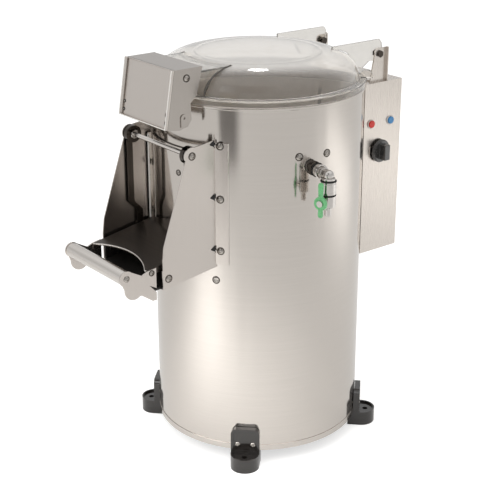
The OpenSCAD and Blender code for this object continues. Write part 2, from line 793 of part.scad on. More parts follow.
// ---------- lid ----------
// outer profile of the dome from its foot to its crown; inset moves it inwards for the inner face
function dome_profile(inset) =
    let (foot_r = dome_r - inset, wall_r = dome_r - 14 - inset, wall_z = lid_top + dome_h * 0.46 - inset,
        crown_r = dome_r - 68 - inset, shoulder_z = lid_top + dome_h - 3 - inset, steps = 10)
    concat(
        [[foot_r, lid_top], [wall_r, wall_z]],
        [for (i = [1 : steps]) [crown_r + (wall_r - crown_r) * cos(90 * i / steps),
            wall_z + (shoulder_z - wall_z) * sin(90 * i / steps)]],
        [[crown_r * 0.55, shoulder_z + 2.2], [0, shoulder_z + 3]]
    );

module dome_solid() {
    rotate_extrude() polygon(concat([[0, lid_top - 30], [dome_r, lid_top - 30]], dome_profile(0)));
}

module lid_dome() {
    lug_r = 13;
    color("#d8e4e8", 0.45) difference() {
        union() {
            rotate_extrude() polygon(concat(
                [[0, lid_top - 1], [0, lid_top - 2], [dome_r - 12, lid_top - 2], [dome_r - 12, lid_top - lid_t],
                [lid_r - lid_t, lid_top - lid_t], [lid_r - lid_t, lid_base], [lid_r, lid_base], [lid_r, lid_top]],
                dome_profile(0)));
            for (s = [-1, 1]) rotate([0, 0, 90 + s * 44]) translate([lid_r - 2, 7, lid_top + 2]) rotate([90, 0, 0])
                difference() {
                    cylinder(r = lug_r, h = 14);
                    translate([-lug_r * 2, -lug_r * 2 - 4, -1]) cube([lug_r * 4, lug_r * 2, 20]);
                }
        }
        rotate_extrude() polygon(concat([[0, lid_top - 30], [dome_r - lid_t, lid_top - 30]], dome_profile(lid_t)));
    }
}

// clear box that joins the dome to the hood
module lid_porch() {
    out = hood_out - 7;
    half = hood_half - hood_t;
    top = lid_top + dome_h - 3;
    color("#d8e4e8", 0.45) difference() {
        translate([-half, -out, lid_top]) cube([2 * half, out - 60, top - lid_top]);
        translate([-half + lid_t, -out + lid_t, lid_top - 1]) cube([2 * (half - lid_t), out, top - lid_top - lid_t + 1]);
        dome_solid();
        both_sides() facing_x(half, -hood_screw_out, hood_screw_z) screw_hole(lid_t + 2);
    }
}
hood_screw_out = hood_out - 26;
hood_screw_z = lid_top + dome_h - 12;

module lid_arm() {
    arm_x = ear_in - 6;
    arm_top = hinge_z + 29;
    arm_start = dome_r - 82;
    eye_r = 13;
    color("#d8e4e8", 0.45) difference() {
        yz_plate(arm_x, lid_t) polygon(concat(
            [[arm_start, lid_top], [arm_start, arm_top], [hinge_back + 3, arm_top], [hinge_back + 9, arm_top - 7]],
            [for (i = [2 : -1 : -12]) [hinge_back + eye_r * cos(8 * i), hinge_z + eye_r * sin(8 * i)]],
            [[hinge_back - 24, hinge_z - eye_r], [drum_r - 10, lid_top]]
        ));
        dome_solid();
        facing_x(0, hinge_back, hinge_z) cylinder(r = hinge_bolt_r + run_gap, h = 200);
    }
}
module lid_arm_right() { lid_arm(); }
module lid_arm_left() { mirror([1, 0, 0]) lid_arm(); }

module hood_side_outline() {
    polygon([
        [-hood_out, hood_top], [-hood_out + 62, hood_top], [-hood_out + 48, lid_top + 5],
        [-lid_r - 5, lid_top - 7], [-lid_r - 3, hood_low + 12], [-lid_r - 12, hood_low],
        [-lid_r - 34, hood_low - 4], [-hood_bottom_out, hood_low]
    ]);
    translate([-lid_r - 30, hood_low + 9]) circle(r = 13);
}

module hood() {
    color("silver") difference() {
        union() {
            both_sides() yz_plate(hood_half - hood_t, hood_t) hood_side_outline();
            translate([-hood_half + hood_t - e, -hood_out + 1, hood_top - hood_t])
                cube([2 * (hood_half - hood_t + e), 60, hood_t]);
            // narrow front flanges beside the inset panel
            both_sides() hood_front_strip(hood_half - hood_t - 7, hood_half - hood_t + e, 0);
        }
        both_sides() facing_x(hood_half, -hood_screw_out, hood_screw_z) screw_hole(hood_t + 2);
    }
}

// a strip of the leaning front, from x0 to x1 and set back by inset
module hood_front_strip(x0, x1, inset) {
    lean = (hood_bottom_out - hood_out) / (hood_top - hood_low);
    yz_plate(x0, x1 - x0) polygon([
        [-hood_out + inset, hood_top - hood_t - e], [-hood_out + inset + hood_t, hood_top - hood_t - e],
        [-hood_bottom_out + inset + hood_t + lean * 2, hood_low + 2], [-hood_bottom_out + inset + lean * 2, hood_low + 2]
    ]);
}

module hood_face() {
    color("gainsboro") hood_front_strip(-hood_half + hood_t + 1, hood_half - hood_t - 1, hood_t + 0.1);
}

// screws, rivets and the catch tabs on the hood's sides
module hood_fittings() {
    tab_y = -lid_r - 21;
    color("gainsboro") both_sides() {
        facing_x(hood_half, -hood_screw_out, hood_screw_z) screw(hood_t + 4, 6, 3);
        yz_plate(hood_half + 0.05, 2) difference() {
            union() {
                translate([tab_y, hood_low + 18]) circle(r = 7);
                translate([tab_y - 7, hood_low + 1]) square([6, 18]);
            }
            translate([tab_y, hood_low + 18]) circle(r = 2.5);
        }
    }
}

// ---------- lid hinge ----------
module hinge_ear() {
    ear_t = 3;
    ear_top = hinge_z + 12;
    color("silver") difference() {
        union() {
            yz_plate(ear_in, ear_t) {
                polygon([
                    [hinge_back - 24, box_top], [hinge_back + 20, box_top], [hinge_back + 20, ear_top],
                    [hinge_back - 5, ear_top], [hinge_back - 13, hinge_z]
                ]);
                translate([hinge_back - 3, hinge_z + 2]) circle(r = 10);
            }
            // stiffening flange at the rear edge and the foot that is screwed to the box
            translate([ear_in + ear_t - e, hinge_back + 17.5, box_top]) cube([6, 2.5, ear_top - box_top + 1]);
            translate([ear_in - 22, hinge_back - 18, box_top]) cube([22 + e, 34, 2.5]);
        }
        facing_x(ear_in + ear_t, hinge_back, hinge_z) translate([0, 0, -10])
            cylinder(r = hinge_bolt_r + hole_gap, h = 20);
        translate([ear_in - 11, hinge_back - 1, box_top]) screw_hole(5);
    }
}
module hinge_ear_right() { hinge_ear(); }
module hinge_ear_left() { mirror([1, 0, 0]) hinge_ear(); }

module hinge_bolts() {
    color("#3a3a3a") both_sides() facing_x(0, hinge_back, hinge_z) {
        translate([0, 0, ear_in - 12]) cylinder(r = hinge_bolt_r, h = 16);
        translate([0, 0, ear_in + 3.05]) cylinder(r = hinge_bolt_r + 3.5, h = 4, $fn = 6);
        translate([0, 0, ear_in - 13]) cylinder(r = hinge_bolt_r + 3.5, h = 6.5, $fn = 6);
    }
}

// ---------- control box ----------
module panel_hole(y, z, r) {
    facing_x(box_half, y, z) translate([0, 0, -box_t - 3]) cylinder(r = r, h = box_t + 10, $fn = 64);
}

module at_box_bolts() {
    for (s = [-1, 1], z = [box_bottom + 60, box_top - 70])
        translate([s * box_bolt_x, box_plate_y + box_t, z]) rotate([-90, 0, 0]) children();
}

module control_box() {
    depth = box_back - box_t - box_front;
    color("silver") difference() {
        translate([-box_half, box_front, box_bottom]) cube([2 * box_half, depth, box_h]);
        // inside, closed towards the drum by the mounting plate
        translate([-box_half + box_t, box_plate_y + box_t, box_bottom + box_t])
            cube([2 * (box_half - box_t), box_back, box_h - 2 * box_t]);
        translate([-recess_half, box_front - 20, box_bottom - 1])
            cube([2 * recess_half, box_plate_y - box_front + 20, box_h + 2]);
        // pockets beside the recess, where the push-buttons sit
        both_sides() translate([recess_half + box_t, box_front + box_t, box_bottom + box_t])
            cube([box_half - recess_half - 2 * box_t, box_back, box_h - 2 * box_t]);
        panel_hole(stop_y, button_z, button_r + run_gap);
        panel_hole(start_y, button_z, button_r + run_gap);
        panel_hole(knob_y, knob_z, 5);
        at_box_bolts() screw_hole(20);
        both_sides() translate([ear_in - 11, hinge_back - 1, box_top + 1]) screw_hole(8);
        translate([0, gland_y, box_bottom - 1]) cylinder(r = gland_r + hole_gap, h = 10);
    }
}

module control_box_back() {
    inset = 6;
    color("silver") difference() {
        union() {
            translate([-box_half, box_back - box_t, box_bottom]) cube([2 * box_half, box_t, box_h]);
            translate([-box_half + inset, box_back - box_t - 8, box_bottom + inset])
                cube([2 * (box_half - inset), 8 + e, box_h - 2 * inset]);
        }
        translate([-box_half + inset + box_t, box_back - box_t - 9, box_bottom + inset + box_t])
            cube([2 * (box_half - inset - box_t), 9, box_h - 2 * (inset + box_t)]);
        at_back_screws() screw_hole(box_t);
    }
}

module at_back_screws() {
    for (s = [-1, 1], z = [box_bottom + 22, (box_bottom + box_top) / 2, box_top - 22])
        translate([s * (box_half - 22), box_back, z]) rotate([-90, 0, 0]) children();
}

module box_screws() {
    color("gainsboro") {
        at_back_screws() screw(box_t, 5, 3);
        at_box_bolts() screw(box_plate_y + box_t - sqrt(pow(drum_r, 2) - pow(box_bolt_x, 2)) + drum_wall, 6, 4);
        both_sides() translate([ear_in - 11, hinge_back - 1, box_top + 2.5]) screw(box_t + 3, 5.5, 3);
    }
}

// black blocks that hold the box off the drum
module box_spacers() {
    color("#1c1c1c") difference() {
        both_sides() for (z = [box_top - 160, box_bottom + 50])
            translate([recess_half, box_front - 30, z]) cube([box_half - recess_half - 3, 30 - 0.05, 46]);
        cylinder(r = drum_r + 0.05, h = drum_top);
    }
}

knob_plate_t = 1.5;
module knob_plate() {
    color("gainsboro") difference() {
        translate([box_half, knob_y - 27, knob_z - 11]) cube([knob_plate_t, 54, 22]);
        panel_hole(knob_y, knob_z, 5);
    }
}

module button_bezels() {
    color("white") for (y = [stop_y, start_y]) facing_x(box_half, y, button_z) difference() {
        cylinder(r = button_r + 2, h = bezel_t);
        translate([0, 0, -1]) cylinder(r = button_r + run_gap, h = bezel_t + 2);
    }
}

module push_button(y) {
    facing_x(box_half - 9, y, button_z) intersection() {
        cylinder(r = button_r, h = 9 + bezel_t + button_travel + 0.5);
        translate([0, 0, 13.5 + button_travel - 20 + 0.5]) sphere(r = 18);
    }
}
module stop_button() { color("red") push_button(stop_y); }
module start_button() { color("steelblue") push_button(start_y); }

module knob() {
    base = box_half + knob_plate_t + knob_stand;
    color("#202020") {
        facing_x(base, knob_y, knob_z) {
            cylinder(r = knob_r, h = 3);
            translate([0, 0, 3 - e]) cylinder(r = knob_r - 2, h = 3);
            translate([-knob_r + 8, -7, 6 - 2 * e]) cube([2 * knob_r - 16, 14, 16]);
        }
        facing_x(box_half - 26, knob_y, knob_z) cylinder(r = 3, h = 26 + knob_plate_t + knob_stand + e);
    }
}

// timer behind the knob and a contact block behind each button
module switch_gear() {
    color("#2b3340") {
        difference() {
            translate([box_half - box_t - 40, knob_y - 24, knob_z - 24]) cube([40, 48, 48]);
            facing_x(box_half - 28, knob_y, knob_z) cylinder(r = 3 + run_gap, h = 40);
        }
        for (y = [stop_y, start_y]) {
            translate([box_half - 52, max(y - 13, box_plate_y + box_t + 1), button_z - 16]) cube([36, 24, 32]);
            for (s = [-1, 1]) translate([box_half - 17, y - 2, button_z + s * 13 - 2.5])
                cube([17 - box_t, 4, 5]);
        }
    }
}

gland_y = box_back - 38;
gland_r = 10;
module cable_gland() {
    color("#202020") difference() {
        union() {
            translate([0, gland_y, box_bottom - 24]) cylinder(r = 9, h = 12);
            translate([0, gland_y, box_bottom - 14]) cylinder(r = 13, h = 14 - 0.02, $fn = 6);
            translate([0, gland_y, box_bottom - 1]) cylinder(r = gland_r, h = 12);
            translate([0, gland_y, box_bottom + box_t + 0.02]) cylinder(r = 13, h = 6, $fn = 6);
        }
        translate([0, gland_y, box_bottom - 30]) cylinder(r = 5, h = 60);
    }
}

// ---------- water inlet ----------
inlet_bore_r = 8;
inlet_nut_r = 15;
module valve_frame() { rotate([0, 0, valve_angle]) children(); }

module along_r(r, z) { translate([r, 0, z]) rotate([0, 90, 0]) children(); }

module inlet_backnut() {
    color("#4a4a4a") valve_frame() difference() {
        union() {
            along_r(drum_r + 0.1, inlet_z) cylinder(r = inlet_nut_r - 1, h = 3);
            along_r(drum_r + 2, inlet_z) cylinder(r = inlet_nut_r, h = 9, $fn = 6);
            along_r(inner_r - 10, inlet_z) cylinder(r = inlet_bore_r, h = 16);
            along_r(inner_r - 9, inlet_z) cylinder(r = inlet_nut_r - 2, h = 8, $fn = 6);
        }
        along_r(inner_r - 20, inlet_z) cylinder(r = 5, h = 60);
    }
}

module inlet_elbow() {
    start = drum_r + 11;
    color("gainsboro") valve_frame() difference() {
        union() {
            along_r(start, inlet_z) cylinder(r = elbow_r - 0.8, h = valve_r - start);
            along_r(start, inlet_z) cylinder(r = elbow_r + 2.5, h = 12);
            along_r(start + 22, inlet_z) cylinder(r = elbow_r + 1, h = 5);
            translate([valve_r, 0, inlet_z]) sphere(r = elbow_r);
            translate([valve_r, 0, valve_top]) cylinder(r = leg_r, h = inlet_z - valve_top);
        }
        along_r(start - 1, inlet_z) cylinder(r = 5, h = valve_r - start + 1);
        translate([valve_r, 0, valve_top - 1]) cylinder(r = 5, h = inlet_z - valve_top + 1);
    }
}

// turns the children's +Z to the way the valve's stem points, starting on the valve's own axis
module along_stem(out) {
    valve_frame() translate([valve_r, 0, stem_z]) rotate([0, 0, stem_turn]) rotate([90, 0, 0])
        translate([0, 0, out]) children();
}

module valve_body() {
    low = valve_top - valve_h;
    color("gainsboro") {
        valve_frame() translate([valve_r, 0, 0]) rotate_extrude() polygon([
            [5, low], [13, low], [14, low + 1], [14, low + 21], [12.5, low + 22], [12.5, low + 24],
            [14.5, low + 25], [14.5, valve_top - 4], [13.5, valve_top - 3], [13.5, valve_top], [5, valve_top]
        ]);
        along_stem(10) cylinder(r = 6.5, h = handle_plane - 10);
        along_stem(handle_plane - 2) cylinder(r = stem_r, h = 7.4);
        along_stem(handle_plane + 5.4 - e) cylinder(r = 6, h = 2.6, $fn = 48);
    }
}
stem_r = 3;

module hose_tail() {
    top = valve_top - valve_h;
    color("gainsboro") valve_frame() translate([valve_r, 0, 0]) rotate_extrude() polygon([
        [4, top], [hose_tail_r + 1.5, top], [hose_tail_r + 1.5, top - 3], [hose_tail_r, top - 3],
        [hose_tail_r, top - 18], [hose_tail_r - 1, top - 19], [4, top - 19]
    ]);
}

// outline of a wing that widens from w0 at the hub to w1 at its round end
function wing_points(w0, w1, long) = concat(
    [[-w0, 0], [w0, 0]],
    [for (i = [0 : 10]) [w1 * cos(18 * i), long - w1 + w1 * sin(18 * i)]]
);

// butterfly handle on the stem, its wings along the flow when open
module valve_handle() {
    hub_t = 4.8;
    color("limegreen") difference() {
        union() {
            along_stem(handle_plane + seat) cylinder(r = 13, h = hub_t);
            along_stem(handle_plane + seat + 0.8) linear_extrude(hub_t - 1.6) polygon(wing_points(4, 5.4, 40));
            along_stem(handle_plane + seat + 0.8) mirror([0, 1, 0])
                linear_extrude(hub_t - 1.6) polygon(wing_points(4, 5, 28));
        }
        along_stem(handle_plane - 1) cylinder(r = stem_r + run_gap, h = hub_t + 4);
    }
}

drum_shell();
drum_rim();
base_ring();
abrasive_liner();
chamber_floor();
bearing_housing();
shaft_bearings();
drain_pipe();
motor_body();
motor_plate();
drive_belt();
foot_front_right();
foot_front_left();
foot_rear_right();
foot_rear_left();
foot_screws();
guard_left();
guard_right();
guard_screws();
pivot_rod();
chute_apron();
drum_screws();
hinge_ear_left();
hinge_ear_right();
hinge_bolts();
control_box();
control_box_back();
box_screws();
box_spacers();
knob_plate();
button_bezels();
switch_gear();
cable_gland();
inlet_backnut();
inlet_elbow();
valve_body();
hose_tail();
lid_dome();
lid_porch();
lid_arm_left();
lid_arm_right();
hood();
hood_face();
hood_fittings();
flap_bar_left();
flap_bar_right();
flap_tray();
door_plate();
door_gasket();
flap_screws();
handle_arms();
handle_tube();
main_shaft();
peeling_disc();
driven_pulley();
motor_pulley();
knob();
start_button();
stop_button();
valve_handle();
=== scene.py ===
import bpy, json, math
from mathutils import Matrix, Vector

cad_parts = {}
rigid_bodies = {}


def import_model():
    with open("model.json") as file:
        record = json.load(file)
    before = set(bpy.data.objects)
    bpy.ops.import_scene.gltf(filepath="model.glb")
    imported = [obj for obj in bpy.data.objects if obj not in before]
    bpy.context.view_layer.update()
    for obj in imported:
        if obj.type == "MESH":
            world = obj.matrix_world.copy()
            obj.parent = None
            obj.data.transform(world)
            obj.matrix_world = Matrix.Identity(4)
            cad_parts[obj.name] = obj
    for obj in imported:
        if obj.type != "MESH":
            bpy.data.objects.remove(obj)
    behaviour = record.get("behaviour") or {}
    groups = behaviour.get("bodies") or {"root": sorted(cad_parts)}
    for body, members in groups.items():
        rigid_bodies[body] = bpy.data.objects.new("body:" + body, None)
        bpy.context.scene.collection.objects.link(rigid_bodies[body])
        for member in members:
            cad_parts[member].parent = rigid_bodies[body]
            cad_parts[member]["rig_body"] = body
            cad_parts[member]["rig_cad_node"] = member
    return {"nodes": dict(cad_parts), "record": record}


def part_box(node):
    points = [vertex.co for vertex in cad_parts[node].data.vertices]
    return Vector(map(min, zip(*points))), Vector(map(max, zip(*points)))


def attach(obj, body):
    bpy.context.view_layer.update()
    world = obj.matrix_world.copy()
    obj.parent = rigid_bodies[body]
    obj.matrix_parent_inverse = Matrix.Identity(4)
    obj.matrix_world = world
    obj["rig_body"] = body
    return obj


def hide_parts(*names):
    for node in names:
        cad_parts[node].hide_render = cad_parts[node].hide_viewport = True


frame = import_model()
nodes = frame["nodes"]
record = frame["record"]
bodyOfNode = {node: body for body, members in record["behaviour"]["bodies"].items() for node in members}
slotOfNode = {part["node"]: part["material_slot"] for part in record["subparts"]}
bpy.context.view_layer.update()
print("frame loaded:", len(nodes), "nodes")

# the camera stands where the photograph was taken from
view = {"place": (1.84833, -1.48427, 1.30174), "tilt": 68.785, "turn": 51.612, "lens": 88.197, "sensor": 36}
cameraTurn = (math.radians(view["tilt"]), 0, math.radians(view["turn"]))
bpy.ops.object.camera_add(location=view["place"], rotation=cameraTurn)
camera = bpy.context.object
camera.data.lens = view["lens"]
camera.data.sensor_width = view["sensor"]
bpy.context.scene.camera = camera
bpy.context.scene.view_settings.view_transform = "Standard"


def linear(hexColour):
    channels = [int(hexColour[i:i + 2], 16) / 255 for i in (1, 3, 5)]
    return tuple(c / 12.92 if c <= 0.04045 else ((c + 0.055) / 1.055) ** 2.4 for c in channels) + (1,)


def addNode(tree, kind, settings=None, links=None):
    node = tree.nodes.new(kind)
    for name, value in (settings or {}).items():
        if isinstance(name, int) or name in node.inputs:
            node.inputs[name].default_value = value
        else:
            setattr(node, name, value)
    for name, source in (links or {}).items():
        tree.links.new(source, node.inputs[name])
    return node


def startMaterial(name, settings):
    material = bpy.data.materials.new(name)
    material.use_nodes = True
    tree = material.node_tree
    shader = tree.nodes["Principled BSDF"]
    for socket, value in settings.items():
        shader.inputs[socket].default_value = value
    place = addNode(tree, "ShaderNodeTexCoord").outputs["Object"]
    return material, tree, shader, place


# how grain and smudges are drawn, with the smudges' size in millimetres
pattern = {"detail": 3.0, "roughness": 0.6, "toneStops": (0.3, 0.7), "smudgeSize": 111, "smudgeDetail": 2.0}


def grainMaterial(name, tones, grain, roughness, bump, settings, smudge=0.05):
    # grain is its size along x, y and z in millimetres, taken to whole repeats in a metre, and bump its
    # strength and its depth in metres
    material, tree, shader, place = startMaterial(name, settings)
    perMetre = [round(1000 / size) for size in grain]
    turned = addNode(tree, "ShaderNodeMapping", {"Scale": perMetre}, {"Vector": place})
    lineSettings = {"Scale": 1.0, "Detail": pattern["detail"], "Roughness": pattern["roughness"]}
    lines = addNode(tree, "ShaderNodeTexNoise", lineSettings, {"Vector": turned.outputs[0]})
    cloudSettings = {"Scale": round(1000 / pattern["smudgeSize"]), "Detail": pattern["smudgeDetail"]}
    cloud = addNode(tree, "ShaderNodeTexNoise", cloudSettings, {"Vector": place})
    colour = addNode(tree, "ShaderNodeValToRGB", links={"Fac": lines.outputs["Fac"]})
    for stop, position, tone in zip((0, 1), pattern["toneStops"], tones):
        colour.color_ramp.elements[stop].position = position
        colour.color_ramp.elements[stop].color = linear(tone)
    tree.links.new(colour.outputs["Color"], shader.inputs["Base Color"])
    fineRange = {"To Min": roughness[0], "To Max": roughness[1]}
    fine = addNode(tree, "ShaderNodeMapRange", fineRange, {"Value": lines.outputs["Fac"]})
    wideRange = {"To Min": -smudge, "To Max": smudge}
    wide = addNode(tree, "ShaderNodeMapRange", wideRange, {"Value": cloud.outputs["Fac"]})
    both = addNode(tree, "ShaderNodeMath", {"operation": "ADD"}, {0: fine.outputs[0], 1: wide.outputs[0]})
    tree.links.new(both.outputs[0], shader.inputs["Roughness"])
    depth = {"Strength": bump[0], "Distance": bump[1]}
    rough = addNode(tree, "ShaderNodeBump", depth, {"Height": lines.outputs["Fac"]})
    tree.links.new(rough.outputs[0], shader.inputs["Normal"])
    return material


# real brush lines and moulded grain are well under a millimetre wide, too fine to show from here, so they
# are drawn coarser, and the abrasive's grit is drawn at about its real size
metal = {"Metallic": 1.0}
plastic = {"IOR": 1.5}
recipes = {
    # rolled sheet, brushed round the drum: soft-sided mirror bands
    "brushedStainless": {
        "tones": ("#c9c3bd", "#cec8c2"), "grain": (200, 200, 1.429), "roughness": (0.1, 0.13),
        "bump": (0.01, 0.0001), "settings": metal, "smudge": 0.01},
    # flat sheet brushed upright: even, slightly warm grey
    "sheetStainless": {
        "tones": ("#cac3bd", "#cfc8c2"), "grain": (1.429, 1.429, 200), "roughness": (0.22, 0.27),
        "bump": (0.01, 0.0001), "settings": metal, "smudge": 0.015},
    # the same sheet, painted darker as painted shade where it faces the dark side of the room
    "hoodStainlessPaintedShade": {
        "tones": ("#ada7a1", "#b3ada7"), "grain": (1.429, 1.429, 200), "roughness": (0.2, 0.25),
        "bump": (0.01, 0.0001), "settings": metal, "smudge": 0.015},
    # coarser brushed sheet, the palest metal
    "boxStainless": {
        "tones": ("#d2cbc4", "#d6cfc8"), "grain": (1.429, 1.429, 200), "roughness": (0.24, 0.3),
        "bump": (0.01, 0.0001), "settings": metal, "smudge": 0.015},
    # drawn and polished round bar: bright line along it
    "drawnTube": {
        "tones": ("#d2ccc6", "#e0dbd6"), "grain": (200, 2, 2), "roughness": (0.16, 0.24),
        "bump": (0.05, 0.0002), "settings": metal},
    # painted highlight: a pale, matt line along an edge, bright even in shade
    "paintedHighlightEdge": {
        "tones": ("#f3efe9", "#fbf8f3"), "grain": (3.33, 3.33, 3.33), "roughness": (0.3, 0.4),
        "bump": (0.02, 0.0001), "settings": {"Metallic": 0.3}},
    # tray steel painted nearly black as painted shade for the dark it mirrors, with a dull sheen
    "trayPaintedShade": {
        "tones": ("#4a4541", "#56504b"), "grain": (250, 3.33, 3.33), "roughness": (0.3, 0.4),
        "bump": (0.08, 0.0003), "settings": {"Metallic": 0.9}},
    # blackened steel: dark rings and nuts; the washers round screw heads are painted shadow
    "darkSteelAndPaintedShadow": {
        "tones": ("#4a4540", "#57514c"), "grain": (3.33, 3.33, 125), "roughness": (0.12, 0.18),
        "bump": (0.02, 0.0001), "settings": metal},
    # polished screw heads: a dark rim and one glint
    "zincScrew": {
        "tones": ("#9c9791", "#aba6a0"), "grain": (2.5, 2.5, 2.5), "roughness": (0.05, 0.09),
        "bump": (0.03, 0.0001), "settings": metal},
    # chrome: black and white reflections side by side
    "chromePlate": {
        "tones": ("#c6c2be", "#d0ccc8"), "grain": (5, 5, 5), "roughness": (0.03, 0.06),
        "bump": (0.02, 0.0001), "settings": metal, "smudge": 0.02},
    # thick enamel on a casting: dark grey with a soft sheen
    "castAnthracite": {
        "tones": ("#1d1a18", "#26221f"), "grain": (2.38, 2.38, 2.38), "roughness": (0.14, 0.2),
        "bump": (0.04, 0.0002), "settings": {"Coat Weight": 0.6, "Coat Roughness": 0.05, "IOR": 1.5}},
    # sand casting: matt, slightly rough
    "castAluminium": {
        "tones": ("#8e8d8b", "#a5a4a1"), "grain": (3.85, 3.85, 3.85), "roughness": (0.45, 0.6),
        "bump": (0.3, 0.0004), "settings": {"Metallic": 0.9}},
    # blue-grey motor enamel: satin
    "motorEnamel": {
        "tones": ("#3f4e5c", "#475868"), "grain": (3.33, 3.33, 3.33), "roughness": (0.35, 0.45),
        "bump": (0.15, 0.0003), "settings": plastic},
    # bonded grit: matt, and painted pale as painted light so that it lights the inside
    "corundumPaintedLight": {
        "tones": ("#d2ccc5", "#e2dcd6"), "grain": (1.429, 1.429, 1.429), "roughness": (0.75, 0.95),
        "bump": (0.9, 0.001), "settings": plastic, "smudge": 0.02},
    # rubber: matt black, also the painted shade in the rivet rings and the guards' folds
    "blackRubberAndPaintedShade": {
        "tones": ("#121110", "#1b1a19"), "grain": (2.86, 2.86, 2.86), "roughness": (0.55, 0.7),
        "bump": (0.2, 0.0002), "settings": plastic},
    # moulded plastic: satin black
    "blackPolypropylene": {
        "tones": ("#1b1a18", "#282523"), "grain": (3.33, 3.33, 3.33), "roughness": (0.34, 0.46),
        "bump": (0.15, 0.0002), "settings": {"IOR": 1.49}},
    # glossy phenolic: black with a clear highlight
    "blackKnobPlastic": {
        "tones": ("#262524", "#31302f"), "grain": (3.33, 3.33, 3.33), "roughness": (0.22, 0.32),
        "bump": (0.08, 0.0001), "settings": {"Coat Weight": 1.0, "Coat Roughness": 0.08, "IOR": 1.5}},
    # grey switch blocks: dull
    "greyPhenolic": {
        "tones": ("#454a50", "#50555c"), "grain": (3.33, 3.33, 3.33), "roughness": (0.4, 0.55),
        "bump": (0.15, 0.0002), "settings": plastic},
    # bezels: pale ring round each button
    "paleBezelPlastic": {
        "tones": ("#d6d0c9", "#e2ddd6"), "grain": (3.33, 3.33, 3.33), "roughness": (0.25, 0.35),
        "bump": (0.06, 0.0001), "settings": plastic},
    # saturated red, slightly glossy
    "redButtonPlastic": {
        "tones": ("#c92a22", "#dc3a30"), "grain": (3.33, 3.33, 3.33), "roughness": (0.2, 0.3),
        "bump": (0.05, 0.0001), "settings": plastic},
    # mid blue, slightly glossy
    "blueButtonPlastic": {
        "tones": ("#3f7fb4", "#4f92c8"), "grain": (3.33, 3.33, 3.33), "roughness": (0.2, 0.3),
        "bump": (0.05, 0.0001), "settings": plastic},
    # lacquered lever: fresh green under a thin gloss
    "greenLacquer": {
        "tones": ("#57a968", "#70c281"), "grain": (3.33, 3.33, 3.33), "roughness": (0.25, 0.35),
        "bump": (0.06, 0.0001), "settings": {"Coat Weight": 0.5, "Coat Roughness": 0.1, "IOR": 1.5}},
    # painted shade: a smoky dark line in the clear plastic's seam, where refraction darkens it
    "paintedSeamShade": {
        "tones": ("#4b4743", "#67625d"), "grain": (3.33, 3.33, 3.33), "roughness": (0.1, 0.2),
        "bump": (0.02, 0.0001), "settings": {"IOR": 1.45}},
    # moulded clear dome: crown painted bright by the haze below, a painted highlight, over a clear, dark side
    "clearPolycarbonate": {
        "tones": ("#f6f2ec", "#faf6f1"), "grain": (16.7, 16.7, 16.7), "roughness": (0.015, 0.03),
        "bump": (0.0, 0.0002), "settings": {"IOR": 1.585}, "smudge": 0.005},
    # flat clear sheet: nearly invisible but for its edges
    "clearSheet": {
        "tones": ("#f6f3ee", "#fbf8f3"), "grain": (16.7, 16.7, 16.7), "roughness": (0.01, 0.02),
        "bump": (0.0, 0.0002), "settings": {"IOR": 1.585}, "smudge": 0.003},
}
finishes = {name: grainMaterial(name, **recipe) for name, recipe in recipes.items()}

# long scratches round the drum spread a reflection across them
brush = {"amount": 0.5, "turn": 0.25}
tree = finishes["brushedStainless"].node_tree
shader = tree.nodes["Principled BSDF"]
around = addNode(tree, "ShaderNodeTangent", {"direction_type": "RADIAL", "axis": "Z"})
shader.inputs["Anisotropic"].default_value = brush["amount"]
shader.inputs["Anisotropic Rotation"].default_value = brush["turn"]
tree.links.new(around.outputs[0], shader.inputs["Tangent"])

# clear plastic is drawn milky where it is seen at a flat angle, partly its own haze and partly a painted
# reflection of the bright room, the moulded dome more than the flat sheet, and the dome most near its crown,
# where the extra milkiness is a painted highlight
hazeAndPaintedReflection = {
    "amounts": {"clearPolycarbonate": (0.02, 0.5), "clearSheet": (0.01, 0.2)},
    "blend": 0.35, "facing": (0.2, 0.5), "from": 0.752, "to": 0.79, "low": 0.35,
}
for name, (facingHaze, grazingHaze) in hazeAndPaintedReflection["amounts"].items():
    tree = finishes[name].node_tree
    facing = addNode(tree, "ShaderNodeLayerWeight", {"Blend": hazeAndPaintedReflection["blend"]})
    byAngle = {"interpolation_type": "SMOOTHSTEP", "From Min": hazeAndPaintedReflection["facing"][0],
               "From Max": hazeAndPaintedReflection["facing"][1], "To Min": facingHaze, "To Max": grazingHaze}
    amount = addNode(tree, "ShaderNodeMapRange", byAngle, {"Value": facing.outputs["Facing"]})
    objectPlace = addNode(tree, "ShaderNodeTexCoord").outputs["Object"]
    place = addNode(tree, "ShaderNodeSeparateXYZ", links={"Vector": objectPlace})
    # painted highlight: the dome grows milkier towards its crown
    byHeight = {"From Min": hazeAndPaintedReflection["from"], "From Max": hazeAndPaintedReflection["to"], "To Min": hazeAndPaintedReflection["low"], "To Max": 1.0}
    paintedCrownHighlight = addNode(tree, "ShaderNodeMapRange", byHeight, {"Value": place.outputs["Z"]})
    factors = {0: amount.outputs[0], 1: paintedCrownHighlight.outputs[0]}
    milkyHazeAndReflection = addNode(tree, "ShaderNodeMath", {"operation": "MULTIPLY"}, factors)
    clarity = addNode(tree, "ShaderNodeMath", {"operation": "SUBTRACT", 0: 1.0}, {1: milkyHazeAndReflection.outputs[0]})
    tree.links.new(clarity.outputs[0], tree.nodes["Principled BSDF"].inputs["Transmission Weight"])
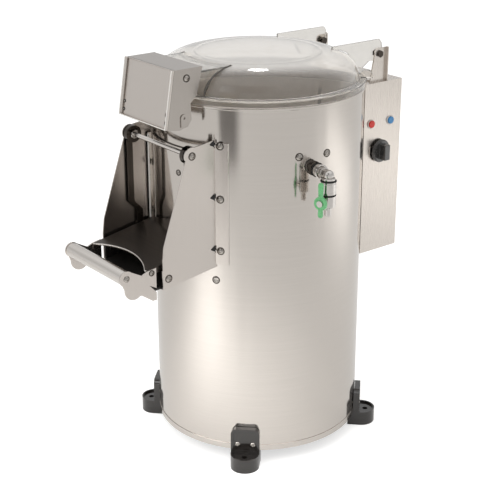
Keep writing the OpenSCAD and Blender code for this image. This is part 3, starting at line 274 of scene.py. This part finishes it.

# a node has its slot's finish, or its own where one is given
# the abrasive's pale finish is painted light
finishOfSlot = {
    "stainless": "sheetStainless", "plain_steel": "zincScrew", "dark_steel": "darkSteelAndPaintedShadow",
    "chrome": "chromePlate", "abrasive": "corundumPaintedLight", "cast_housing": "castAluminium",
    "motor_paint": "motorEnamel", "foot_paint": "castAnthracite", "rubber": "blackRubberAndPaintedShade",
    "black_plastic": "blackPolypropylene", "black_gloss_plastic": "blackKnobPlastic",
    "grey_plastic": "greyPhenolic", "pale_plastic": "paleBezelPlastic", "clear_plastic": "clearPolycarbonate",
    "red_plastic": "redButtonPlastic", "blue_plastic": "blueButtonPlastic", "green_paint": "greenLacquer",
}
# the hood's darker finish is painted shade
finishOfNode = {
    "inlet_backnut": "darkSteelAndPaintedShadow", "door_plate": "brushedStainless",
    "hood": "hoodStainlessPaintedShade", "hood_face": "hoodStainlessPaintedShade", "hood_fittings": "hoodStainlessPaintedShade",
    "control_box": "boxStainless", "control_box_back": "boxStainless",
    "hinge_ear_left": "boxStainless", "hinge_ear_right": "boxStainless",
    "drum_shell": "brushedStainless", "drum_rim": "brushedStainless", "base_ring": "brushedStainless",
    "lid_arm_left": "clearSheet", "lid_arm_right": "clearSheet", "lid_porch": "clearSheet",
    # the tray's nearly black finish is painted shade
    "handle_tube": "drawnTube", "pivot_rod": "drawnTube", "flap_tray": "trayPaintedShade",
}
print("materials made:", len(finishes))

# every CAD node is shown by a copy with softened edges, lengths in metres and angles in degrees
edges = {
    "width": 0.0005, "segments": 2, "sharpAngle": 35, "flatWeight": 80,
    "mergeWithin": 0.000004, "flatWithin": 0.4,
    "plain": [
        "abrasive_liner", "chamber_floor", "shaft_bearings", "motor_plate", "drive_belt", "switch_gear"],
    "wide": {
        "foot_front_right": 0.0018, "foot_front_left": 0.0018, "foot_rear_right": 0.0018,
        "foot_rear_left": 0.0018, "knob": 0.0008, "control_box": 0.0009, "control_box_back": 0.0009,
        "flap_bar_left": 0.0008, "flap_bar_right": 0.0008, "lid_porch": 0.0012},
}


def selectOnly(piece):
    bpy.ops.object.select_all(action="DESELECT")
    piece.select_set(True)
    bpy.context.view_layer.objects.active = piece


def smoothBelow(angle):
    bpy.ops.object.shade_smooth_by_angle(angle=math.radians(angle))


def copyNode(nodeName, pieceName):
    selectOnly(nodes[nodeName])
    bpy.ops.object.duplicate()
    piece = bpy.context.object
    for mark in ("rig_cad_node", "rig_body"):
        if mark in piece:
            del piece[mark]
    piece.name = piece.data.name = pieceName
    bpy.ops.object.mode_set(mode="EDIT")
    bpy.ops.mesh.select_all(action="SELECT")
    bpy.ops.mesh.remove_doubles(threshold=edges["mergeWithin"])
    bpy.ops.mesh.dissolve_limited(angle_limit=math.radians(edges["flatWithin"]))
    bpy.ops.object.mode_set(mode="OBJECT")
    return piece


def softenEdges(piece, width, segments=2):
    selectOnly(piece)
    bpy.ops.object.shade_smooth()
    rounding = piece.modifiers.new("edges", "BEVEL")
    rounding.width = width
    rounding.segments = segments
    rounding.limit_method = "ANGLE"
    rounding.angle_limit = math.radians(edges["sharpAngle"])
    rounding.harden_normals = True
    bpy.ops.object.modifier_apply(modifier="edges")
    flats = piece.modifiers.new("flats", "WEIGHTED_NORMAL")
    flats.weight = edges["flatWeight"]
    bpy.ops.object.modifier_apply(modifier="flats")


def finishPiece(piece, body, finish, standsFor=()):
    piece.data.materials.clear()
    piece.data.materials.append(finishes[finish])
    if standsFor:
        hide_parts(*standsFor)
    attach(piece, body)
    return piece


def shiftVertices(piece, chosen, shift):
    selectOnly(piece)
    for vertex in piece.data.vertices:
        vertex.select = chosen(vertex.co)
    bpy.ops.object.mode_set(mode="EDIT")
    bpy.ops.transform.translate(value=shift)
    bpy.ops.object.mode_set(mode="OBJECT")


shading = {"turned": 30, "moulded": 40}  # degrees below which neighbouring faces shade as one
madeElsewhere = ["lid_dome"]
for nodeName in sorted(set(nodes) - set(madeElsewhere)):
    slot = slotOfNode[nodeName]
    piece = copyNode(nodeName, nodeName + "_finished")
    if nodeName in edges["plain"]:
        smoothBelow(shading["turned"])
    else:
        softenEdges(piece, edges["wide"].get(nodeName, edges["width"]), edges["segments"])
    finishPiece(piece, bodyOfNode[nodeName], finishOfNode.get(nodeName, finishOfSlot[slot]), [nodeName])
print("nodes finished")

# the hubs of the flap's bars are turned down on their inner side
hub = {"faceAt": 0.078, "within": 0.001, "cut": 0.010}
for side, nodeName in ((1, "flap_bar_right"), (-1, "flap_bar_left")):
    bar = bpy.data.objects[nodeName + "_finished"]
    shiftVertices(bar, lambda spot: abs(spot.x) < hub["faceAt"] + hub["within"], (side * hub["cut"], 0, 0))
print("hubs turned down")

# the apron's lower edge follows the guards' lower edge up to the drum
apron = {"near": -0.25, "below": 0.43, "raised": 0.0096}
shiftVertices(bpy.data.objects["chute_apron_finished"],
              lambda spot: spot.y > apron["near"] and spot.z < apron["below"], (0, 0, apron["raised"]))
print("apron raised")

# tools for the new pieces, which start from one vertex and count vertices this close as one
start = {"size": 0.001, "mergeWithin": 0.00001}


def settle(piece, name):
    selectOnly(piece)
    bpy.ops.object.transform_apply(location=True, rotation=True, scale=True)
    piece.name = piece.data.name = name
    return piece


def drawLine(points, closed=False):
    # one vertex, extruded from point to point
    bpy.ops.object.select_all(action="DESELECT")
    bpy.ops.mesh.primitive_plane_add(size=start["size"], location=points[0])
    bpy.ops.object.mode_set(mode="EDIT")
    bpy.ops.mesh.select_mode(type="VERT")
    bpy.ops.mesh.merge(type="CENTER")
    path = list(points) + ([points[0]] if closed else [])
    for near, far in zip(path, path[1:]):
        bpy.ops.mesh.extrude_vertices_move(TRANSFORM_OT_translate={"value": Vector(far) - Vector(near)})
    bpy.ops.mesh.select_all(action="SELECT")
    bpy.ops.mesh.remove_doubles(threshold=start["mergeWithin"])
    bpy.ops.object.mode_set(mode="OBJECT")
    return settle(bpy.context.object, "line")


def spinLine(piece, steps):
    # turns a line all round +Z
    selectOnly(piece)
    bpy.ops.object.mode_set(mode="EDIT")
    bpy.ops.mesh.select_all(action="SELECT")
    bpy.ops.mesh.spin(steps=steps, angle=math.radians(360), center=(0, 0, 0), axis=(0, 0, 1))
    bpy.ops.mesh.select_all(action="SELECT")
    bpy.ops.mesh.remove_doubles(threshold=start["mergeWithin"])
    bpy.ops.mesh.normals_make_consistent(inside=False)
    bpy.ops.object.mode_set(mode="OBJECT")
    return piece


def joinPieces(pieces, name):
    selectOnly(pieces[0])
    for piece in pieces[1:]:
        piece.select_set(True)
    bpy.ops.object.join()
    return settle(bpy.context.object, name)


def stand(piece, place, outward):
    # turns a piece drawn round +Z so that +Z points outward, and moves it to its place
    piece.rotation_euler = Vector(outward).to_track_quat("Z", "Y").to_euler()
    piece.location = place
    return settle(piece, piece.name)


def roundBead(points, radius):
    # a round bar along a line
    selectOnly(drawLine(points))
    bpy.ops.object.convert(target="CURVE")
    bead = bpy.context.object
    bead.data.bevel_depth = radius
    bead.data.bevel_resolution = 3
    bead.data.use_fill_caps = True
    bpy.ops.object.convert(target="MESH")
    smoothBelow(shading["moulded"])
    return bpy.context.object


# clear dome, one smooth moulding with a skirt round the drum's rim
dome = {
    "wall": 0.004, "foot": 0.2, "flare": 0.0015, "crown": 0.126, "rise": 0.053, "plateau": 0.003,
    "skirtOut": 0.214, "lowEdge": 0.0006, "topEdge": 0.0016, "steps": 240, "arcSteps": 64, "capEvery": 8,
}
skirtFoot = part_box("lid_dome")[0].z
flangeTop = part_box("lid_porch")[0].z


def domeProfile(inset):
    # a quarter ellipse from the flange to the plateau, and a shallow cap over it
    top = flangeTop + dome["rise"] - dome["plateau"] - inset
    foot = dome["foot"] - inset
    crown = dome["crown"] - inset
    turns = [math.radians(90 * i / dome["arcSteps"]) for i in range(dome["arcSteps"] + 1)]
    arc = [(crown + (foot - crown) * math.cos(turn), flangeTop + (top - flangeTop) * math.sin(turn))
           for turn in turns]
    capTurns = turns[dome["capEvery"]::dome["capEvery"]]
    cap = [(crown * math.cos(turn), top + dome["plateau"] * math.sin(turn)) for turn in capTurns]
    return [(foot + dome["flare"], flangeTop)] + arc[1:] + cap


outer = domeProfile(0)
inner = domeProfile(dome["wall"])
inner[0:2] = [(dome["foot"] - dome["wall"], flangeTop - dome["wall"])]
skirtOut = dome["skirtOut"]
skirtIn = skirtOut - dome["wall"]
skirt = [
    (skirtIn, flangeTop - dome["wall"]), (skirtIn, skirtFoot + dome["lowEdge"]),
    (skirtIn + dome["lowEdge"], skirtFoot), (skirtOut - dome["lowEdge"], skirtFoot),
    (skirtOut, skirtFoot + dome["lowEdge"]), (skirtOut, flangeTop - dome["topEdge"]),
    (skirtOut - dome["topEdge"], flangeTop),
]
outline = [(r, 0, z) for r, z in inner[::-1] + skirt + outer]
domeShell = settle(spinLine(drawLine(outline), dome["steps"]), "domeShell")
smoothBelow(shading["moulded"])
finishPiece(domeShell, "lid", "clearPolycarbonate", ["lid_dome"])
print("dome made")

# lugs at the back of the lid: half discs that stand on the flange
lug = {
    "radius": 0.013, "width": 0.014, "ring": 0.212, "angles": (46, 134), "lift": 0.002,
    "edge": 0.0015, "edgeSteps": 3, "steps": 48,
}
lugs = []
for angle in lug["angles"]:
    turn = math.radians(angle)
    lugPlace = (lug["ring"] * math.cos(turn), lug["ring"] * math.sin(turn), flangeTop + lug["lift"])
    bpy.ops.object.select_all(action="DESELECT")
    bpy.ops.mesh.primitive_cylinder_add(vertices=lug["steps"], radius=lug["radius"], depth=lug["width"],
                                        location=lugPlace, rotation=(math.radians(90), 0, turn))
    piece = settle(bpy.context.object, "lug")
    bpy.ops.object.mode_set(mode="EDIT")
    bpy.ops.mesh.select_all(action="SELECT")
    bpy.ops.mesh.bisect(plane_co=(0, 0, flangeTop), plane_no=(0, 0, 1), use_fill=True, clear_inner=True)
    bpy.ops.object.mode_set(mode="OBJECT")
    softenEdges(piece, lug["edge"], lug["edgeSteps"])
    lugs.append(piece)
finishPiece(joinPieces(lugs, "domeLugs"), "lid", "clearPolycarbonate")
print("lugs made")

# dark washers, a painted shadow ring round each screw head, smaller on the flap and the hood
shadowWasher = {
    "inner": 0.0063, "outer": 0.0079, "height": 0.0009, "chamfer": 0.4, "steps": 32,
    "flapScale": 0.77, "hoodScale": 0.92,
}

# where the screws sit: turn in degrees and height on the drum and the door, or x, y and z on a side
screwSpots = {
    "guardTurns": (-58.0, -122.0), "guardHeights": (0.664, 0.5605, 0.457), "guardRadius": 0.2127,
    "drum": ((-17.3, 0.642), (-0.7, 0.641), (-61, 0.395), (-119, 0.395)), "drumRadius": 0.2101,
    "side": ((0.104, -0.237, 0.653), (0.104, -0.295, 0.427)),
    "door": ((-24.31, 0.588), (24.31, 0.588), (-24.31, 0.488), (24.31, 0.488), (6.8, 0.598)),
    "doorRadius": 0.2149, "doorMiddle": -90,
    "tray": ((0.097, -0.328, 0.444),), "hood": ((0.077, -0.227, 0.7913),),
}


def shadowWasherAt(place, outward, scale):
    inside = shadowWasher["inner"] * scale
    outside = shadowWasher["outer"] * scale
    top = shadowWasher["height"]
    cut = top * shadowWasher["chamfer"]
    line = [(inside, 0, 0), (outside, 0, 0), (outside, 0, top - cut), (outside - cut, 0, top),
            (inside, 0, top)]
    ring = spinLine(drawLine(line, closed=True), shadowWasher["steps"])
    smoothBelow(shading["turned"])
    return stand(ring, place, outward)


def onDrum(turn, z, radius, scale=1.0):
    outward = Vector((math.cos(math.radians(turn)), math.sin(math.radians(turn)), 0))
    return shadowWasherAt(outward * radius + Vector((0, 0, z)), outward, scale)


def onSides(places, scale=1.0):
    return [shadowWasherAt((side * x, y, z), (side, 0, 0), scale) for x, y, z in places for side in (1, -1)]


bodyShadowWashers = [onDrum(turn, z, screwSpots["guardRadius"])
               for turn in screwSpots["guardTurns"] for z in screwSpots["guardHeights"]]
bodyShadowWashers += [onDrum(turn, z, screwSpots["drumRadius"]) for turn, z in screwSpots["drum"]]
bodyShadowWashers += onSides(screwSpots["side"])
finishPiece(joinPieces(bodyShadowWashers, "bodyShadowWashers"), "housing", "darkSteelAndPaintedShadow")
flapShadowWashers = [onDrum(screwSpots["doorMiddle"] + turn, z, screwSpots["doorRadius"], shadowWasher["flapScale"])
               for turn, z in screwSpots["door"]]
flapShadowWashers += onSides(screwSpots["tray"], shadowWasher["flapScale"])
finishPiece(joinPieces(flapShadowWashers, "flapShadowWashers"), "flap", "darkSteelAndPaintedShadow")
hoodShadowWashers = onSides(screwSpots["hood"], shadowWasher["hoodScale"])
finishPiece(joinPieces(hoodShadowWashers, "hoodShadowWashers"), "lid", "darkSteelAndPaintedShadow")
print("washers made")

# front of the hood: a shallow pressed tray with a narrow lip
hoodFront = {
    "half": 0.077, "topOut": 0.253, "lowOut": 0.271, "top": 0.809, "low": 0.701,
    "depth": 0.0055, "lip": 0.0022, "floor": 0.0006, "edge": 0.0006,
}
slopeOfFront = Vector((0, hoodFront["topOut"] - hoodFront["lowOut"], hoodFront["low"] - hoodFront["top"]))
slopeDown = slopeOfFront.normalized()
slopeOut = slopeDown.cross(Vector((1, 0, 0))).normalized()
half = hoodFront["half"]
hoodCorners = [
    (-half, -hoodFront["topOut"], hoodFront["top"]), (half, -hoodFront["topOut"], hoodFront["top"]),
    (half, -hoodFront["lowOut"], hoodFront["low"]), (-half, -hoodFront["lowOut"], hoodFront["low"]),
]
hoodTray = drawLine(hoodCorners, closed=True)
selectOnly(hoodTray)
bpy.ops.object.mode_set(mode="EDIT")
bpy.ops.mesh.select_mode(type="VERT")
bpy.ops.mesh.select_all(action="SELECT")
bpy.ops.mesh.edge_face_add()
bpy.ops.mesh.extrude_region_move(TRANSFORM_OT_translate={"value": slopeOut * hoodFront["depth"]})
bpy.ops.mesh.select_mode(type="FACE")
bpy.ops.mesh.inset(thickness=hoodFront["lip"])
bpy.ops.transform.translate(value=slopeOut * (hoodFront["floor"] - hoodFront["depth"]))
bpy.ops.mesh.select_all(action="SELECT")
bpy.ops.mesh.normals_make_consistent(inside=False)
bpy.ops.object.mode_set(mode="OBJECT")
softenEdges(hoodTray, hoodFront["edge"])
hoodTray.name = hoodTray.data.name = "hoodTray"
finishPiece(hoodTray, "lid", "sheetStainless")

# two pairs of rivets in the hood's tray, each in a black ring that is painted shadow
rivet = {
    "side": 0.0685, "heights": (0.012, 0.027), "radius": 0.0022, "steps": 20,
    "profile": ((0, 0.6), (0.5, 0.5), (0.87, 0.25), (1, 0)),
    "ringOut": 0.0036, "ringLow": 0.0005, "ringHigh": 0.0007, "ringSteps": 24,
}
rivets = []
rivetShadowRings = []
for side in (1, -1):
    for height in rivet["heights"]:
        corner = Vector((side * rivet["side"], -hoodFront["lowOut"], hoodFront["low"]))
        foot = corner - slopeDown * height + slopeOut * hoodFront["floor"]
        r = rivet["radius"]
        head = spinLine(drawLine([(r * out, 0, r * up) for out, up in rivet["profile"]]), rivet["steps"])
        bpy.ops.object.shade_smooth()
        rivets.append(stand(head, foot, slopeOut))
        ringOut = rivet["ringOut"]
        ringLine = [(r, 0, 0), (ringOut, 0, 0), (ringOut, 0, rivet["ringLow"]), (r, 0, rivet["ringHigh"])]
        ring = spinLine(drawLine(ringLine, closed=True), rivet["ringSteps"])
        smoothBelow(shading["turned"])
        rivetShadowRings.append(stand(ring, foot, slopeOut))
finishPiece(joinPieces(rivets, "hoodRivets"), "lid", "zincScrew")
finishPiece(joinPieces(rivetShadowRings, "rivetShadowRings"), "lid", "blackRubberAndPaintedShade")
print("hood front made")

# a dark bead in the seam where the porch's sides meet the dome, painted shade for the dark line the seam
# shows
seam = {"half": 0.0745, "radius": 0.0018, "proud": 0.0004, "endGap": 0.01}
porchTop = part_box("lid_porch")[1].z
seams = []
for side in (1, -1):
    track = [(side * seam["half"], -math.sqrt(r * r - seam["half"] ** 2), z)
             for r, z in domeProfile(-seam["proud"])[1:dome["arcSteps"] + 1]
             if r > seam["half"] + seam["endGap"] and z < porchTop]
    seams.append(roundBead(track, seam["radius"]))
finishPiece(joinPieces(seams, "porchSeams"), "lid", "paintedSeamShade")
print("porch seams made")

# bright hem along the arched front edge of the tray, which slopes down from back to front
tray = {"backOut": 0.213, "backHeight": 0.470, "frontOut": 0.337, "frontHeight": 0.449}
hem = {
    "radius": 0.0013, "arch": 0.163, "notch": 0.0254, "half": 0.0925, "endOut": 0.3365, "lift": 0.0002,
    "steps": 40,
}
traySlope = (tray["frontHeight"] - tray["backHeight"]) / (tray["frontOut"] - tray["backOut"])
archY = -(tray["frontOut"] - hem["notch"]) - hem["arch"]
reach = math.asin(hem["half"] / hem["arch"])
archTurns = [-reach + 2 * reach * i / hem["steps"] for i in range(1, hem["steps"])]
archLine = [(hem["arch"] * math.sin(turn), archY + hem["arch"] * math.cos(turn)) for turn in archTurns]
edgeLine = [(-hem["half"], -hem["endOut"])] + archLine + [(hem["half"], -hem["endOut"])]
hemTrack = [(x, y, tray["backHeight"] + (-tray["backOut"] - y) * traySlope + hem["lift"])
            for x, y in edgeLine]
trayHem = settle(roundBead(hemTrack, hem["radius"]), "trayHem")
finishPiece(trayHem, "flap", "drawnTube")
print("hem made")

# black wedges in the fold of each guard, round its pressed gussets: painted shade in the fold
wedge = {
    "reach": 0.0122, "half": 0.0074, "proud": 0.002, "tip": 0.0052, "lift": 0.004, "edge": 0.0003,
    "guardX": 0.104, "sunk": 0.0005, "behindFold": 0.0015, "backIn": 0.001, "tipOut": 0.0006,
}
foldY = -math.sqrt(screwSpots["guardRadius"] ** 2 - wedge["guardX"] ** 2) - wedge["behindFold"]
flatX = wedge["guardX"] - wedge["sunk"]
tipX = wedge["guardX"] + wedge["proud"]
wedges = []
for side in (1, -1):
    for screwHeight in screwSpots["guardHeights"]:
        z = screwHeight + wedge["lift"]
        corners = [
            (flatX, foldY - wedge["reach"], z),
            (flatX, foldY + wedge["backIn"], z + wedge["half"]),
            (flatX, foldY + wedge["backIn"], z - wedge["half"]),
            (tipX, foldY - wedge["tipOut"], z + wedge["tip"]),
            (tipX, foldY - wedge["tipOut"], z - wedge["tip"]),
        ]
        piece = drawLine([(side * x, y, height) for x, y, height in corners])
        bpy.ops.object.mode_set(mode="EDIT")
        bpy.ops.mesh.select_all(action="SELECT")
        bpy.ops.mesh.convex_hull()
        bpy.ops.mesh.select_all(action="SELECT")
        bpy.ops.mesh.normals_make_consistent(inside=False)
        bpy.ops.object.mode_set(mode="OBJECT")
        softenEdges(piece, wedge["edge"])
        wedges.append(piece)
finishPiece(joinPieces(wedges, "foldShadeWedges"), "housing", "blackRubberAndPaintedShade")
print("fold wedges made")

# round edge on the lip of the hood's front, pale as a painted highlight, its open line starting and ending at
# the top
hoodEdge = 0.0012
hoodMiddle = (hoodFront["top"] + hoodFront["low"]) / 2
lipCorners = []
for corner in hoodCorners:
    inward = Vector((-math.copysign(hoodEdge, corner[0]), 0, 0))
    downward = slopeDown * (hoodEdge if corner[2] > hoodMiddle else -hoodEdge)
    lipCorners.append(Vector(corner) + slopeOut * hoodFront["depth"] + inward + downward)
hoodBead = roundBead([lipCorners[0], lipCorners[3], lipCorners[2], lipCorners[1]], hoodEdge)
finishPiece(settle(hoodBead, "hoodBead"), "lid", "paintedHighlightEdge")

# round edges on the door's side flanges, pale as a painted highlight
doorEdge = {"radius": 0.0019, "x": 0.0955, "y": -0.1992, "heights": (0.472, 0.646)}
doorBeads = []
for side in (1, -1):
    doorLine = [(side * doorEdge["x"], doorEdge["y"], z) for z in doorEdge["heights"]]
    doorBeads.append(roundBead(doorLine, doorEdge["radius"]))
finishPiece(joinPieces(doorBeads, "doorBeads"), "flap", "paintedHighlightEdge")
print("bright edges made")

# rings on the water fitting: inner and outer radius, height, and place up its leg or out along its branch
fitting = {
    "angle": -9, "leg": 0.262, "branchHeight": 0.617, "ringSteps": 48, "sealEdge": 0.0005,
    "collarEdge": 0.0012,
    "legSeals": ((0.0082, 0.0153, 0.0022, 0.6055), (0.0125, 0.0149, 0.0018, 0.5790)),
    "branchSeal": (0.0095, 0.0140, 0.0020, 0.2232),
    "branchCollar": (0.0090, 0.0135, 0.0050, 0.2335),
    "legCollar": (0.0080, 0.0128, 0.0045, 0.6078),
}


def ringPiece(inner, outer, height, edge, place, axis):
    # a flat ring round the axis, whose outer corners are cut off by edge
    line = [(inner, 0, 0), (outer - edge, 0, 0), (outer, 0, edge), (outer, 0, height - edge),
            (outer - edge, 0, height), (inner, 0, height)]
    ring = spinLine(drawLine(line, closed=True), fitting["ringSteps"])
    smoothBelow(shading["turned"])
    return stand(ring, place, axis)


fittingTurn = math.radians(fitting["angle"])
radial = Vector((math.cos(fittingTurn), math.sin(fittingTurn), 0))


def onLeg(inner, outer, height, z, edge):
    return ringPiece(inner, outer, height, edge, radial * fitting["leg"] + Vector((0, 0, z)), (0, 0, 1))


def onBranch(inner, outer, height, out, edge):
    branchPlace = radial * out + Vector((0, 0, fitting["branchHeight"]))
    return ringPiece(inner, outer, height, edge, branchPlace, radial)


seals = [onLeg(*ring, fitting["sealEdge"]) for ring in fitting["legSeals"]]
seals.append(onBranch(*fitting["branchSeal"], fitting["sealEdge"]))
finishPiece(joinPieces(seals, "fittingSeals"), "housing", "blackRubberAndPaintedShade")
fittingCollars = [
    onBranch(*fitting["branchCollar"], fitting["collarEdge"]),
    onLeg(*fitting["legCollar"], fitting["collarEdge"]),
]
finishPiece(joinPieces(fittingCollars, "fittingCollars"), "housing", "chromePlate")
print("fitting rings made")

# collars on the cross rod beside each hub
collar = {"inner": 0.0046, "outer": 0.0085, "width": 0.004, "edge": 0.0008, "innerX": 0.0835}
rodY, rodZ = screwSpots["side"][0][1:]
rodCollars = [
    ringPiece(collar["inner"], collar["outer"], collar["width"], collar["edge"], (x, rodY, rodZ), (1, 0, 0))
    for x in (collar["innerX"], -collar["innerX"] - collar["width"])
]
finishPiece(joinPieces(rodCollars, "rodCollars"), "housing", "chromePlate")
print("rod collars made")

# the floor glows more for the camera than for what reflects it
studio = {
    "floor": "#cfcecc", "floorSize": 30, "matt": 0.9, "floorGlow": 0.2, "cameraGlow": 0.6,
    "sky": ((0.0, 0.8), (0.36, 0.6), (0.75, 0.95), (1.0, 1.0)),
}
bpy.ops.mesh.primitive_plane_add(size=studio["floorSize"], location=(0, 0, 0))
floor = bpy.context.object
floor.name = "floor"
floorLook = {
    "Roughness": studio["matt"], "Base Color": linear(studio["floor"]), "Emission Color": (1, 1, 1, 1)}
material, tree, shader = startMaterial("matteSweep", floorLook)[:3]
floorRays = addNode(tree, "ShaderNodeLightPath")
glowRange = {"To Min": studio["floorGlow"], "To Max": studio["cameraGlow"]}
glow = addNode(tree, "ShaderNodeMapRange", glowRange, {"Value": floorRays.outputs["Is Camera Ray"]})
tree.links.new(glow.outputs[0], shader.inputs["Emission Strength"])
floor.data.materials.append(material)

# grey cards with soft sides, one beside and one above the camera, that only glossy surfaces see
cards = {
    "base": "#141414", "tone": "#6b6866", "soft": (0.1, 0.5), "strength": 0.9,
    "spots": {
        "besideCameraCard": {"place": (0.64, -1.52, 0.78), "size": (0.9, 1.2), "target": (0, 0, 0.78)},
        "aboveCameraCard": {"place": (0.86, -1.03, 1.85), "size": (1.9, 1.1), "target": (0, 0, 0.6)}},
}
cardLook = {"Roughness": studio["matt"], "Base Color": linear(cards["base"]),
            "Emission Color": linear(cards["tone"]), "Emission Strength": 1.0}
material, tree, shader, place = startMaterial("greyCard", cardLook)
fromMiddle = addNode(tree, "ShaderNodeVectorMath", {"operation": "ABSOLUTE"}, {0: place})
across = addNode(tree, "ShaderNodeSeparateXYZ", links={"Vector": fromMiddle.outputs[0]})
fadeRange = {"interpolation_type": "SMOOTHSTEP", "From Min": cards["soft"][0], "From Max": cards["soft"][1],
             "To Min": cards["strength"], "To Max": 0.0}
fade = addNode(tree, "ShaderNodeMapRange", fadeRange, {"Value": across.outputs["X"]})
tree.links.new(fade.outputs[0], shader.inputs["Alpha"])
for name, spot in cards["spots"].items():
    bpy.ops.object.select_all(action="DESELECT")
    bpy.ops.mesh.primitive_plane_add(size=1, location=spot["place"])
    card = bpy.context.object
    card.name = name
    facing = Vector(spot["target"]) - Vector(spot["place"])
    card.rotation_euler = facing.to_track_quat("Z", "Y").to_euler()
    card.scale = (spot["size"][0], spot["size"][1], 1)
    card.data.materials.append(material)
    card.visible_camera = card.visible_diffuse = card.visible_shadow = card.visible_transmission = False

# three of the lamps light patches of the floor, which the drum and the guards mirror
lamps = {
    "keyLamp": {"place": (1.0, -2.4, 2.6), "size": (1.6, 1.6), "power": 9, "target": (0, 0, 0.5)},
    "leftPatch": {
        "place": (0.04, -0.92, 0.38), "size": (0.5, 0.88), "power": 4.3, "target": (0.04, -0.92, 0)},
    "nearPatch": {"place": (0.4, -0.32, 0.4), "size": (0.7, 0.7), "power": 1.8, "target": (0.4, -0.32, 0)},
    "rightPatch": {"place": (1.25, 1.65, 0.45), "size": (1.6, 0.8), "power": 7.6, "target": (1.25, 1.65, 0)},
    "domeSpot": {"place": (-1.24, 1.0, 2.72), "size": (0.27, 0.5), "power": 8, "target": (0, 0, 0.79)},
    "rearFill": {"place": (-1.2, 1.2, 2.4), "size": (1.8, 1.8), "power": 1.5, "target": (0, 0, 0.7)},
}
for name, spot in lamps.items():
    bpy.ops.object.light_add(type="AREA", location=spot["place"])
    lamp = bpy.context.object
    lamp.name = name
    lamp.data.shape = "ELLIPSE" if name == "domeSpot" else "RECTANGLE"
    lamp.data.size, lamp.data.size_y = spot["size"]
    lamp.data.energy = spot["power"]
    facing = Vector(spot["target"]) - Vector(spot["place"])
    lamp.rotation_euler = facing.to_track_quat("-Z", "Y").to_euler()
    lamp.visible_camera = False
    lamp.visible_transmission = False

# white for the camera and through clear plastic, and banded by height for everything that reflects it
world = bpy.data.worlds.new("studio")
bpy.context.scene.world = world
world.use_nodes = True
tree = world.node_tree
background = tree.nodes["Background"]
rays = addNode(tree, "ShaderNodeLightPath")
skyPlace = addNode(tree, "ShaderNodeTexCoord").outputs["Generated"]
direction = addNode(tree, "ShaderNodeSeparateXYZ", links={"Vector": skyPlace})
height = addNode(tree, "ShaderNodeValToRGB", links={"Fac": direction.outputs["Z"]})
for stop, (position, level) in enumerate(studio["sky"]):
    element = height.color_ramp.elements[stop] if stop < 2 else height.color_ramp.elements.new(position)
    element.position = position
    element.color = (level, level, level, 1)
plainRays = {0: rays.outputs["Is Camera Ray"], 1: rays.outputs["Is Transmission Ray"]}
seen = addNode(tree, "ShaderNodeMath", {"operation": "MAXIMUM"}, plainRays)
levels = {0: seen.outputs[0], 2: height.outputs[0]}
strength = addNode(tree, "ShaderNodeMix", {"data_type": "FLOAT", 3: 1.0}, levels)
background.inputs["Color"].default_value = (1, 1, 1, 1)
tree.links.new(strength.outputs[0], background.inputs["Strength"])
print("studio set")
